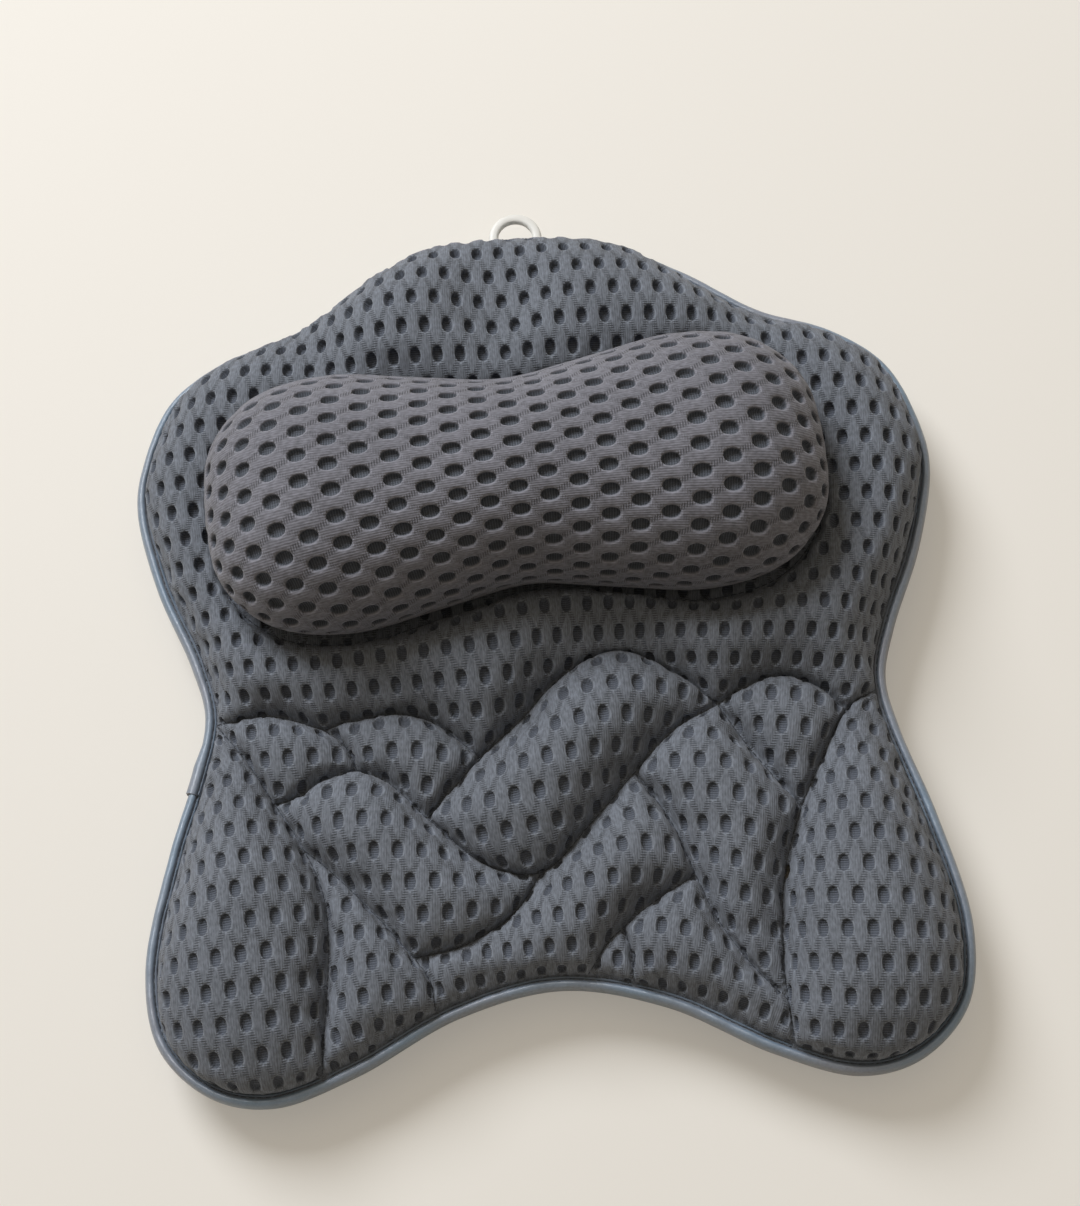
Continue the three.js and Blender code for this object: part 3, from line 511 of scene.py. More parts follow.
# Hook tab: a short piece of woven polyester webbing, folded round the ring's bar and sewn flat to the back.
# Its two leaves lie on each other under the cover, with a box of stitches through both.
BAR_HALF = 2 * MM
WEBBING_THICK = 1.2 * MM
TAB_REACH = 18.8 * MM
TAB_LOOP = 3.69 * MM
LEAF_END = (-8.58 * MM, 2.19 * MM)
TAB_SIDE = 7.0 * MM
WEBBING_BLUE = "#55616f"
STITCH = 2.6 * MM
STITCH_GAP = 0.7 * MM
THREAD_STOUT = 0.3 * MM
TAB_ROUNDING = 0.25 * MM
TOP_STEPS, LOOP_STEPS, SLOPE_STEPS, LEAF_STEPS = 26, 24, 10, 14
TAB_COLUMNS = 5
BOX_STITCH = [(-5, -17), (5, -17), (5, -10), (-5, -10)]
STITCH_UNDER = 0.05 * MM
THREAD_DARK = "#363b43"
ring_low, ring_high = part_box("hanging_ring")
bar = Vector(((ring_low.x + ring_high.x) / 2, ring_low.y + BAR_HALF, (ring_low.z + ring_high.z) / 2))
leaf = Vector(LEAF_END)
leave = math.atan2(leaf.y, leaf.x) + math.acos(TAB_LOOP / leaf.length) - math.tau
fold = [Vector((-TAB_REACH + TAB_REACH * k / TOP_STEPS, TAB_LOOP)) for k in range(TOP_STEPS)]
for k in range(LOOP_STEPS + 1):
    angle = math.pi / 2 + (leave - math.pi / 2) * k / LOOP_STEPS
    fold.append(Vector((math.cos(angle), math.sin(angle))) * TAB_LOOP)
fold += [fold[-1].lerp(leaf, k / SLOPE_STEPS) for k in range(1, SLOPE_STEPS + 1)]
fold += [Vector((leaf.x + (-TAB_REACH - leaf.x) * k / LEAF_STEPS, leaf.y))
         for k in range(1, LEAF_STEPS + 1)]
columns = [TAB_SIDE * k / TAB_COLUMNS for k in range(-TAB_COLUMNS, TAB_COLUMNS + 1)]
tab_points = [bar + Vector((x, p.x, p.y)) for p in fold for x in columns]
wide = len(columns)
tab_faces = [(j * wide + i, j * wide + i + 1, (j + 1) * wide + i + 1, (j + 1) * wide + i)
             for j in range(len(fold) - 1) for i in range(wide - 1)]
tab = new_mesh("webbing_tab", tab_points, tab_faces)
along = tab.data.attributes.new("weave", "FLOAT_VECTOR", "POINT")
reach = 0
for j, p in enumerate(fold):
    reach += (p - fold[j - 1]).length if j else 0
    for i, x in enumerate(columns):
        along.data[j * wide + i].vector = (x, reach, 0)
thick = tab.modifiers.new("thick", "SOLIDIFY")
thick.thickness = WEBBING_THICK
thick.offset = 0
bpy.ops.object.modifier_apply(modifier=thick.name)
rounded = tab.modifiers.new("rounded", "BEVEL")
rounded.width = TAB_ROUNDING
rounded.segments = 2
bpy.ops.object.modifier_apply(modifier=rounded.name)
edit_all(bpy.ops.mesh.normals_make_consistent, inside=False)
bpy.ops.object.shade_smooth_by_angle(angle=CREASE)
webbing = new_material("woven_webbing")
place = node(webbing, "Attribute", output="Vector", attribute_name="weave")
across, lengthwise = (node(webbing, "SeparateXYZ", {0: place}, output=axis) for axis in "XY")
# Picks lean from side to side in turn every 0.9 mm, so that the webbing shows a herringbone of 1.8 mm.
lean = node(webbing, "Math", {0: across, 1: 0.9 * MM}, operation="PINGPONG")
picks = node(webbing, "Math", {0: lengthwise, 1: lean}, operation="ADD")
picks = node(webbing, "Math", {0: picks, 1: math.tau / (0.7 * MM)}, operation="MULTIPLY")
picks = node(webbing, "Math", {0: picks}, operation="SINE")
ribs = node(webbing, "Math", {0: across, 1: math.tau / (1.8 * MM)}, operation="MULTIPLY")
ribs = node(webbing, "Math", {0: ribs}, operation="COSINE")
weave = node(webbing, "Math", {0: ribs, 1: 0.6, 2: picks}, operation="MULTIPLY_ADD")
lint = node(webbing, "TexNoise", {"Vector": place, "Scale": 1 / (0.8 * MM), "Detail": 3.0})
height = node(webbing, "Math", {0: lint, 1: weave}, operation="ADD")
tone = node(webbing, "MapRange", {0: height, 1: -1.2, 2: 2.4, 3: 0.72, 4: 1.15})
colour = node(webbing, "VectorMath", {0: srgb(WEBBING_BLUE)[:3], "Scale": tone}, operation="SCALE")
shade(webbing, colour, height, 0.7, 0.12 * MM, {"Roughness": 0.7, "Sheen Weight": 0.2})
tab.data.materials.append(webbing)
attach(tab, "pillow")
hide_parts("hook_tab")

# One stitch is a short spindle of twisted polyester thread, dull, with painted shade between its strands.
bpy.ops.object.select_all(action="DESELECT")
bpy.ops.mesh.primitive_uv_sphere_add(segments=6, ring_count=4, radius=1)
stitch = bpy.context.object
thread = new_material("polyester_thread")
place = node(thread, "TexCoord", output="Object")
twist = node(thread, "TexNoise", {"Vector": place, "Scale": 1 / (0.5 * MM), "Detail": 2.0})
# The tone follows the bump: painted shade between the strands.
tone = node(thread, "MapRange", {0: twist, 1: 0.3, 2: 0.7, 3: 0.75, 4: 1.25})
colour = node(thread, "VectorMath", {0: srgb(THREAD_DARK)[:3], "Scale": tone}, operation="SCALE")
shade(thread, colour, twist, 0.5, 0.1 * MM, {"Roughness": 0.6})


def sew(name, runs, up, stout=THREAD_STOUT):
    """Stitches end to end along runs of points: one stitch of thread, copied to each place."""
    points, faces = [], []
    for run in runs:
        reach = [0.0]
        for a, b in zip(run, run[1:]):
            reach.append(reach[-1] + (b - a).length)
        count, k = max(1, round(reach[-1] / (STITCH + STITCH_GAP))), 0
        for i in range(count):
            at = reach[-1] * (i + 0.5) / count
            while k + 2 < len(run) and reach[k + 1] < at:
                k += 1
            middle = run[k].lerp(run[k + 1], (at - reach[k]) / (reach[k + 1] - reach[k]))
            ahead = (run[k + 1] - run[k]).normalized()
            side = up.cross(ahead).normalized()
            first = len(points)
            points += [middle + ahead * v.co.z * STITCH / 2 + side * v.co.x * stout
                       + up * v.co.y * stout * 0.8 for v in stitch.data.vertices]
            faces += [tuple(first + n for n in f.vertices) for f in stitch.data.polygons]
    sewn = new_mesh(name, points, faces)
    bpy.ops.object.shade_smooth()
    sewn.data.materials.append(thread)
    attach(sewn, "pillow")
    return sewn


under = bar + Vector((0, 0, leaf.y - WEBBING_THICK / 2 - STITCH_UNDER))
corners = [under + Vector((x, y, 0)) * MM for x, y in BOX_STITCH]
box_runs = [[corners[a], corners[b]] for a, b in ((0, 1), (1, 2), (2, 3), (3, 0), (0, 2), (1, 3))]
sew("tab_stitches", box_runs, Vector((0, 0, -1)))

# Hanging ring: a D of glossy white plastic. Its mould has two halves, so a fine parting line runs round it.
# Its bar lies loose in the tab, and its arch stands out past the head end for a wall hook.
RING_HALF = 11.5
RING_TOP = 29
RING_FOOT = -2
RING_CORNER = 4.4
RING_SECTION = [
    (0, 0.07), (0, 0.6), (0.14, 1.15), (0.5, 1.55), (1.1, 1.77), (2, 1.8), (2.9, 1.77), (3.5, 1.55),
    (3.86, 1.15), (4, 0.6), (4, 0.07)]
RING_PARTING = 0.09
RING_STEP = 0.6 * MM
RING_WHITE = "#e9e9e5"


def sweep(name, line, sections):
    """A closed tube round a line: each point has a section of distances in from the line and heights."""
    sides, count, size = inward(line), len(line) - 1, len(sections[0])
    points = [at_height(line[i] + sides[i] * inset, z) for i in range(count) for inset, z in sections[i]]
    faces = [(i * size + k, (i + 1) % count * size + k, (i + 1) % count * size + (k + 1) % size,
              i * size + (k + 1) % size) for i in range(count) for k in range(size)]
    tube = new_mesh(name, points, faces)
    edit_all(bpy.ops.mesh.normals_make_consistent, inside=False)
    return tube


ring_points = []
for centre, radius, start, end, count in (
        ((-RING_HALF + RING_CORNER, RING_FOOT + RING_CORNER), RING_CORNER, 180, 270, 6),
        ((RING_HALF - RING_CORNER, RING_FOOT + RING_CORNER), RING_CORNER, 270, 360, 6),
        ((0, RING_TOP - RING_HALF), RING_HALF, 0, 180, 20)):
    for k in range(count + 1):
        angle = math.radians(start + (end - start) * k / count)
        spoke = Vector((math.cos(angle), math.sin(angle))) * radius
        ring_points.append(bar.xy + (Vector(centre) + spoke) * MM)
ring_line = smooth_line(ring_points, closed=True, step=RING_STEP)
ring_upper = [(inset * MM, bar.z + z * MM) for inset, z in RING_SECTION]
ring_lower = [(inset * MM, bar.z - z * MM) for inset, z in RING_SECTION[::-1]]
ring_inside = ((RING_SECTION[-1][0] + RING_PARTING) * MM, bar.z)
ring_section = ring_upper + [ring_inside] + ring_lower + [(-RING_PARTING * MM, bar.z)]
ring = sweep("white_ring", ring_line, [ring_section] * (len(ring_line) - 1))
bpy.ops.object.shade_smooth()
# Shallow sink marks and small scuffs make the gloss uneven, as on a moulding that has been handled.
glossy = new_material("white_glossy_plastic")
place = node(glossy, "TexCoord", output="Object")
sink = node(glossy, "TexNoise", {"Vector": place, "Scale": 1 / (9 * MM), "Detail": 2.0})
scuff = node(glossy, "TexNoise", {"Vector": place, "Scale": 1 / (0.9 * MM), "Detail": 4.0})
gloss = node(glossy, "MapRange", {0: scuff, 1: 0.35, 2: 0.7, 3: 0.34, 4: 0.5})
tone = node(glossy, "MapRange", {0: sink, 1: 0.3, 2: 0.7, 3: 0.96, 4: 1.0})
colour = node(glossy, "VectorMath", {0: srgb(RING_WHITE)[:3], "Scale": tone}, operation="SCALE")
shade(glossy, colour, sink, 0.4, 0.15 * MM, {"Roughness": gloss, "IOR": 1.49})
ring.data.materials.append(glossy)
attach(ring, "hanging_ring")
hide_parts("hanging_ring")

# Front cover: the same spacer mesh over a layer of wadding, quilted through to the back along wave lines,
# so that it stands up in plump pads between the seams, round a flat seat for the neck roll.
# The pads are blown up by a cloth simulation from their sewn lines, and the knit is laid on the result.
HEM_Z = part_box("edge_binding")[1].z - 1.1 * MM
SEAM_Z = BACK_Z + 10 * MM
SEAT_Z = BACK_Z + 18 * MM
PAD_HEIGHT = 19 * MM
PAD_WIDTH = 54 * MM
FOOT_SHARPNESS = 0.42
HEAD_SHARPNESS = 0.3
HEAD_FROM = 60 * MM
HEAD_RIGHT = (45 * MM, 85 * MM)
HEAD_LEFT = (-105 * MM, -150 * MM)
HEAD_PUFF = 0.35
HEAD_PUFF_AT = (-52, 168)
HEAD_PUFF_REACH = 26 * MM
SMOOTH_CLEAR = 5 * MM
LOFT_FOOT, LOFT_HEAD = 0.7, 1.3
LOFT_FROM, LOFT_TO = -30 * MM, 60 * MM
HEM_ENDS = {"waist_right": (132, -9), "waist_left": (-132, -9), "lobe_left": (-92, -150),
            "triangle_left": (-48, -129), "ribbon_end": (11, -117), "triangle_foot": (28, -122),
            "lobe_right": (87, -149)}
MEETINGS = {"scallops": (-89, -14), "divider": (-75.5, -32.5), "ribbon_start": (-109, -43.3),
            "big_left": (-49, -52.5), "scallop_end": (-27, -29), "big_right": (68.5, -12.5),
            "big_low": (33.5, -38.5), "big_bottom": (-5, -76), "ribbon_low": (-56, -107),
            "lobe_touch": (-98, -62), "triangle_top": (54.5, -80.5), "triangle_side": (25, -99.8),
            "low_right": (86, -131), "lobe_mid": (98, -56.5), "lobe_high": (119.5, -18)}
SEAMS = [
    ["waist_left", (-127, -16), (-119, -27), "ribbon_start", "lobe_touch", (-91, -79), (-89, -97),
     (-90, -119), (-91.5, -135), "lobe_left"],
    ["waist_left", (-124, -8.5), (-114, -7), (-104, -8.5), "scallops"],
    ["scallops", (-81, -21), "divider"],
    ["scallops", (-79, -11.5), (-62, -9.5), (-47, -12.5), "scallop_end"],
    ["ribbon_start", (-99, -41), (-88, -35), "divider", (-65, -36.5), "big_left"],
    ["big_left", "scallop_end", (-10, -14), (7, 2.5), (30, 10.5), (53, 0.5), "big_right"],
    ["big_right", (50, -22.5), "big_low", (15, -58), "big_bottom", (-25, -73), "big_left"],
    ["big_bottom", (-18, -93), (-38, -103.5), "ribbon_low"],
    ["ribbon_low", (-71, -89), (-88, -71), "lobe_touch"],
    ["ribbon_low", (-50, -117), "triangle_left"],
    ["big_low", (46, -58), "triangle_top"],
    ["triangle_top", (36, -91.5), "triangle_side", (19.5, -104.5), "ribbon_end"],
    ["triangle_side", (26.8, -105.3), (27.6, -111), "triangle_foot"],
    ["triangle_top", (61, -97), (73, -116), "low_right"],
    ["big_right", (79, -30), "lobe_mid"],
    ["big_right", (76, -8), (94, -2.7), (108, -7.5), "lobe_high"],
    ["waist_right", "lobe_high", (108, -37), "lobe_mid", (90, -79), (86.5, -102), "low_right",
     "lobe_right"],
]
ROLL_MIDDLE = (-7, 77.5)
ROLL_SKEW = math.radians(4.2)
ROLL_SPINE = 72
ROLL_END_PLAN = [(127, 0), (123, 28), (104, 49), (72, 56), (36, 50.25)]
ROLL_WAIST = (0, 44.5)
ROLL_SEWN_INSET = 2.5
ROLL_PLAN_STEP = 2.5
SEAM_CATCH = 1.5 * MM
CUT_FINE = 1.6 * MM
CUT_COARSE = 3.8 * MM
CUT_BAND = 4.5 * MM
CUT_CLEAR = 0.7 * CUT_FINE
SEAM_STEP = 0.5 * MM
SEAM_STRIDE = 5
EDGE_STRIDE = 3
CLEAR_LEAST = 0.05 * MM
PINNED = 0.3 * MM
SWELL_ROUNDS = 800
BLOWN_FRAMES = 20
PRESSURE = 4.0
FRONT_SPARE = 0.04
FRONT_CAP = 5 * MM
FRONT_SMOOTHING = 6

roll_half = smooth_line(ROLL_END_PLAN + [ROLL_WAIST] + [(-x, y) for x, y in ROLL_END_PLAN[::-1]],
                        step=ROLL_PLAN_STEP)
roll_plan = roll_half + [Vector((p.x, -p.y)) for p in roll_half[-2:0:-1]]


def roll_point(p, inset, share=1.0):
    """A point of the roll's plan, drawn in by inset and towards its crest, as the part's own metres."""
    crest = Vector((min(max(p.x, -ROLL_SPINE), ROLL_SPINE), 0))
    reach = p - crest
    own = crest + reach * share * (1 - inset / reach.length)
    askew = Vector((own.x * math.cos(ROLL_SKEW) - own.y * math.sin(ROLL_SKEW),
                    own.x * math.sin(ROLL_SKEW) + own.y * math.cos(ROLL_SKEW)))
    return on_panel(ROLL_MIDDLE[0] + askew.x, ROLL_MIDDLE[1] + askew.y)


hem_tree = point_tree(hem_points)
sewn_ends = {name: on_panel(*place) for name, place in MEETINGS.items()}
for name, place in HEM_ENDS.items():
    sewn_ends[name] = hem_points[hem_tree.find(on_panel(*place).to_3d())[1]]
seam_lines = [smooth_line([sewn_ends[p] if isinstance(p, str) else on_panel(*p) for p in seam],
                          step=SEAM_STEP) for seam in SEAMS]
roll_seam = smooth_line([roll_point(p, ROLL_SEWN_INSET) for p in roll_plan], closed=True, step=SEAM_STEP)
seam_points = [p for line in seam_lines for p in line]
seam_tree, roll_tree, roll_inward = point_tree(seam_points), point_tree(roll_seam), inward(roll_seam)
panel_tree, panel_inward = point_tree(panel_edge), inward(panel_edge)


def within(p, line, tree, sides):
    """How far a flat point lies inside a closed line, below zero outside it."""
    nearest = tree.find(p.to_3d())[1]
    return (p - line[nearest]).dot(sides[nearest])


def ramp(value, start, end):
    """How far a value has come from start to end, held between 0 and 1."""
    return min(max((value - start) / (end - start), 0), 1)


def cloth_net(edge, lines):
    """Triangles over a flat cut, finer beside the sewn lines, with edges along every line."""
    points, sides = [], []
    for line in [edge] + lines:
        closed = (line[0] - line[-1]).length < SLIVER
        run = line[:-1] if closed else line
        first = len(points)
        points += run
        sides += [(first + i, first + i + 1) for i in range(len(run) - 1)]
        if closed:
            sides.append((len(points) - 1, first))
    sewn_tree, edge_tree, edge_inward = point_tree(points), point_tree(edge), inward(edge)
    low, high = box_of(edge)
    for spacing in (CUT_FINE, CUT_COARSE):
        lift = spacing * math.sqrt(3) / 2
        for j in range(int((high.y - low.y) / lift) + 1):
            for i in range(int((high.x - low.x) / spacing) + 1):
                p = Vector((low.x + (i + j % 2 / 2) * spacing, low.y + j * lift))
                distance = sewn_tree.find(p.to_3d())[2]
                wanted = distance < CUT_BAND if spacing == CUT_FINE else distance >= CUT_BAND
                inside = within(p, edge, edge_tree, edge_inward) > 0
                if inside and wanted and distance > CUT_CLEAR:
                    points.append(p)
    cut, _, faces, *_ = delaunay_2d_cdt(points, sides, [], 1, SLIVER)
    return cut, [tuple(f) for f in faces]


def swell(cut, faces, pins):
    """How far an even pressure lifts each point of a thin skin that is held down at its sewn points."""
    flat, corners = np.array([tuple(p) for p in cut]), np.array(faces)
    here, there, pull = [], [], []
    room = np.zeros(len(cut))
    for k in range(3):
        a, b, c = corners[:, k], corners[:, (k + 1) % 3], corners[:, (k + 2) % 3]
        to_b, to_c = flat[b] - flat[a], flat[c] - flat[a]
        twice_area = np.abs(to_b[:, 0] * to_c[:, 1] - to_b[:, 1] * to_c[:, 0])
        grip = (to_b * to_c).sum(axis=1) / np.maximum(twice_area, 1e-12) / 2
        here += [b, c]
        there += [c, b]
        pull += [grip, grip]
        room += np.bincount(a, twice_area / 6, len(cut))
    here, there, pull = np.concatenate(here), np.concatenate(there), np.maximum(np.concatenate(pull), 0)
    hold = np.maximum(np.bincount(here, pull, len(cut)), 1e-9)
    free = np.ones(len(cut))
    free[pins] = 0
    lift = np.zeros(len(cut))
    for _ in range(SWELL_ROUNDS):
        lift = (np.bincount(here, pull * lift[there], len(cut)) + room) / hold * free
    return lift.tolist()


def inflate(cloth, pins, spare, cap):
    """Blows a cloth up from its sewn points, with some spare cloth, and no point further than cap."""
    sewn = cloth.vertex_groups.new(name="sewn")
    sewn.add(pins, 1.0, "REPLACE")
    blown = cloth.modifiers.new("Cloth", "CLOTH")
    blown.settings.quality = 5
    blown.settings.mass = 0.2
    blown.settings.tension_stiffness = 40
    blown.settings.compression_stiffness = 40
    blown.settings.shear_stiffness = 20
    blown.settings.bending_stiffness = 1.5
    blown.settings.shrink_min = -spare
    blown.settings.use_pressure = True
    blown.settings.uniform_pressure_force = PRESSURE
    blown.settings.effector_weights.gravity = 0
    blown.settings.vertex_group_mass = "sewn"
    blown.collision_settings.use_collision = False
    for step in range(1, BLOWN_FRAMES + 1):
        scene.frame_set(step)
    settled = cloth.evaluated_get(bpy.context.evaluated_depsgraph_get()).data
    for v, w in zip(cloth.data.vertices, settled.vertices):
        move = w.co - v.co
        v.co += move * min(cap / max(move.length, 1e-9), 1)
    cloth.modifiers.remove(blown)
    cloth.vertex_groups.remove(sewn)
    scene.frame_set(1)


def flatten(cloth, plan):
    """Lays a cloth flat with the least stretch, in metres, turned to lie as its plan does."""
    bpy.ops.object.select_all(action="DESELECT")
    cloth.select_set(True)
    bpy.context.view_layer.objects.active = cloth
    edit_all(bpy.ops.uv.unwrap, method="MINIMUM_STRETCH", iterations=10, margin=0)
    data = cloth.data
    flat = [0j] * len(data.vertices)
    for loop in data.loops:
        flat[loop.vertex_index] = complex(*data.uv_layers.active.data[loop.index].uv)
    area = 0
    for face in data.polygons:
        ring = [flat[k] for k in face.vertices]
        area += abs(sum((a.conjugate() * b).imag for a, b in zip(ring, ring[1:] + ring[:1]))) / 2
    scale = math.sqrt(sum(face.area for face in data.polygons) / area)
    goal = [complex(p[0], p[1]) for p in plan]
    middle, aim = sum(flat) / len(flat), sum(goal) / len(goal)
    plain = sum((f - middle).conjugate() * (g - aim) for f, g in zip(flat, goal))
    mirrored = sum((f - middle) * (g - aim) for f, g in zip(flat, goal))
    if abs(mirrored) > abs(plain):
        flat, middle, plain = [f.conjugate() for f in flat], middle.conjugate(), mirrored
    laid = [(f - middle) * scale * plain / abs(plain) + aim for f in flat]
    return [Vector((f.real, f.imag)) for f in laid]


def open_edge(cloth):
    """The points round a cloth's open edge, in order."""
    shell = bmesh.new()
    shell.from_mesh(cloth.data)
    start = next(e for e in shell.edges if e.is_boundary)
    loop, edge, v = [], start, start.verts[0]
    while True:
        loop.append(v.index)
        v = edge.other_vert(v)
        edge = next(e for e in v.link_edges if e.is_boundary and e is not edge)
        if edge is start:
            break
    shell.free()
    return loop


seam_runs = [line[::SEAM_STRIDE] + ([line[-1]] if (len(line) - 1) % SEAM_STRIDE else [])
             for line in seam_lines + [roll_seam]]
front_cut, front_faces = cloth_net(cover_edge[::EDGE_STRIDE] + [cover_edge[-1]],
                                   seam_runs + [hem_points[::EDGE_STRIDE] + [hem_points[-1]]])
front_pins, front_seated, front_clear = [], [], []
for i, p in enumerate(front_cut):
    flat = p.to_3d()
    room = within(p, panel_edge, panel_tree, panel_inward) - HEM_INSET
    reaches = room, seam_tree.find(flat)[2], roll_tree.find(flat)[2]
    front_clear.append([max(d, CLEAR_LEAST) for d in reaches])
    front_seated.append(within(p, roll_seam, roll_tree, roll_inward) > 0)
    if front_seated[-1] or min(front_clear[-1]) < PINNED:
        front_pins.append(i)
front_swell = swell(front_cut, front_faces, front_pins)
front_start = []
for p, seated, clear, lift in zip(front_cut, front_seated, front_clear, front_swell):
    between = (1 - ramp(p.x, *HEAD_RIGHT)) * (1 - ramp(p.x, *HEAD_LEFT))
    headwards = ramp(p.y - PANEL_Y, 0, HEAD_FROM) * between
    puff = 1 + HEAD_PUFF * math.exp(-((p - on_panel(*HEAD_PUFF_AT)).length / HEAD_PUFF_REACH) ** 2)
    sharpness = FOOT_SHARPNESS + (HEAD_SHARPNESS - FOOT_SHARPNESS) * headwards
    foot = sum(z / d for z, d in zip((HEM_Z, SEAM_Z, SEAT_Z), clear)) / sum(1 / d for d in clear)
    top = SEAT_Z if seated else foot + PAD_HEIGHT * puff * (lift / (PAD_WIDTH ** 2 / 8)) ** sharpness
    front_start.append(at_height(p, top))
front_cloth = new_mesh("front_cloth", front_start, front_faces)
inflate(front_cloth, front_pins, FRONT_SPARE, FRONT_CAP)
bpy.ops.object.mode_set(mode="EDIT")
bpy.ops.mesh.select_mode(type="VERT")
bpy.ops.mesh.select_all(action="DESELECT")
bpy.ops.object.mode_set(mode="OBJECT")
for v, clear in zip(front_cloth.data.vertices, front_clear):
    v.select = min(clear) > SMOOTH_CLEAR
bpy.ops.object.mode_set(mode="EDIT")
bpy.ops.mesh.vertices_smooth(factor=0.5, repeat=FRONT_SMOOTHING)
bpy.ops.object.mode_set(mode="OBJECT")
front_shape = [v.co.copy() for v in front_cloth.data.vertices]
front_facing = [v.normal.copy() for v in front_cloth.data.vertices]
front_let_out = flatten(front_cloth, front_cut)
front_lookup = BVHTree.FromPolygons([(p.x, p.y, 0) for p in front_cut], front_faces)


def on_front(p, places):
    """What a point of the panel's plan has on the front cover's net, where places gives each corner's."""
    face = front_faces[front_lookup.find_nearest(p.to_3d())[2]]
    return mixed(places, face, flat_share(p, *(front_cut[k] for k in face)))


def knit_loft(p):
    """The share of its depth that a vent keeps: the foot's pads draw the knit thinner than the head end."""
    return LOFT_FOOT + (LOFT_HEAD - LOFT_FOOT) * ramp(p.y - PANEL_Y, LOFT_FROM, LOFT_TO)


sewn_let_out = [on_front(p, front_let_out) for p in seam_points + roll_seam + hem_points]
edge_let_out = smooth_line([on_front(p, front_let_out) for p in cover_edge[:-1:2]], closed=True)
front_cover = vent_lattice("front_mesh", PITCH, ROW, VENT_RINGS, *box_of(edge_let_out))
lay_on(front_cover, front_let_out, front_shape, front_faces, edge_let_out, sewn_let_out, SEAM_CATCH,
       knit_loft)
front_cover.data.materials.append(air_mesh)
bpy.data.objects.remove(front_cloth)
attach(front_cover, "pillow")
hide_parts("front_cover")

# Panel wadding: a loose batt of white polyester fibre, held between the two covers by the quilting.
# It fills the pads from below, thin at the seams, and leaves a pocket round each cup's head.
BATT_INSET = 2.2 * MM
BATT_STEP = 4 * MM
BATT_STRIDE = 6
BATT_UNDER = 5 * MM
BATT_LEAST = 0.3 * MM
BATT_PINCH = 3 * MM
PINCH_REACH = 7 * MM
BATT_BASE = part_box("panel_wadding")[0].z
BATT_POCKET = 13 * MM
POCKET_RISE = 6.6 * MM
BATT_WHITE = "#e9e7e1"
batt_edge = drawn_in(panel_edge, HEM_INSET + BATT_INSET)[:-1:BATT_STRIDE]
batt_edge = smooth_line(batt_edge, closed=True, step=BATT_STEP)
batt_cut, batt_faces = cloth_net(batt_edge, [run[::2] for run in seam_runs])
batt_points = []
for p in batt_cut:
    top = on_front(p, front_shape) - on_front(p, front_facing).normalized() * BATT_UNDER
    pinch = BATT_PINCH * max(1 - seam_tree.find(p.to_3d())[2] / PINCH_REACH, 0)
    batt_points.append((top.x, top.y, max(top.z - pinch, BATT_BASE + BATT_LEAST)))
for p in batt_cut:
    pocket = min((p - c).length for c in cup_places) < BATT_POCKET
    batt_points.append((p.x, p.y, BATT_BASE + (POCKET_RISE if pocket else 0)))
count = len(batt_cut)
batt = new_mesh("wadding_batt", batt_points,
                batt_faces + [tuple(count + k for k in reversed(f)) for f in batt_faces])
bpy.ops.object.mode_set(mode="EDIT")
bpy.ops.mesh.select_mode(type="EDGE")
bpy.ops.mesh.select_all(action="DESELECT")
bpy.ops.mesh.select_non_manifold()
bpy.ops.mesh.bridge_edge_loops()
bpy.ops.object.mode_set(mode="OBJECT")
edit_all(bpy.ops.mesh.normals_make_consistent, inside=False)
bpy.ops.object.shade_smooth()
# Tangled fibre scatters the light, so that it looks soft and white; its hollows are greyer with painted
# shade.
fibre = new_material("polyester_fibre")
place = node(fibre, "TexCoord", output="Object")
drawn = node(fibre, "Mapping", {"Vector": place, "Scale": (1, 1, 6)})
hairs = node(fibre, "TexNoise", {
    "Vector": drawn, "Scale": 1 / (2.2 * MM), "Detail": 6.0, "Distortion": 1.5})
# The tone follows the bump: painted shade in the fibre's hollows.
tone = node(fibre, "MapRange", {0: hairs, 1: 0.25, 2: 0.75, 3: 0.82, 4: 1.0})
colour = node(fibre, "VectorMath", {0: srgb(BATT_WHITE)[:3], "Scale": tone}, operation="SCALE")
shade(fibre, colour, hairs, 0.8, 0.8 * MM, {"Roughness": 0.95, "Sheen Weight": 0.3})
batt.data.materials.append(fibre)
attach(batt, "pillow")
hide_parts("panel_wadding")

# Quilting thread: dark polyester lockstitch along the wave lines, through both covers and the wadding.
# It lies deep between the pads, and one more line of it holds the neck roll down round its seat.
THREAD_LIFT = 0.35 * MM
THREAD_UNDER = 0.1 * MM
quilt_runs = [[at_height(p, on_front(p, front_shape).z + THREAD_LIFT) for p in line]
              for line in seam_lines + [roll_seam]]
sew("quilting_stitches", quilt_runs, Vector((0, 0, 1)))
quilt_under = [[at_height(p, BACK_Z - THREAD_UNDER) for p in line] for line in seam_lines]
sew("quilting_back_stitches", quilt_under, Vector((0, 0, -1)))

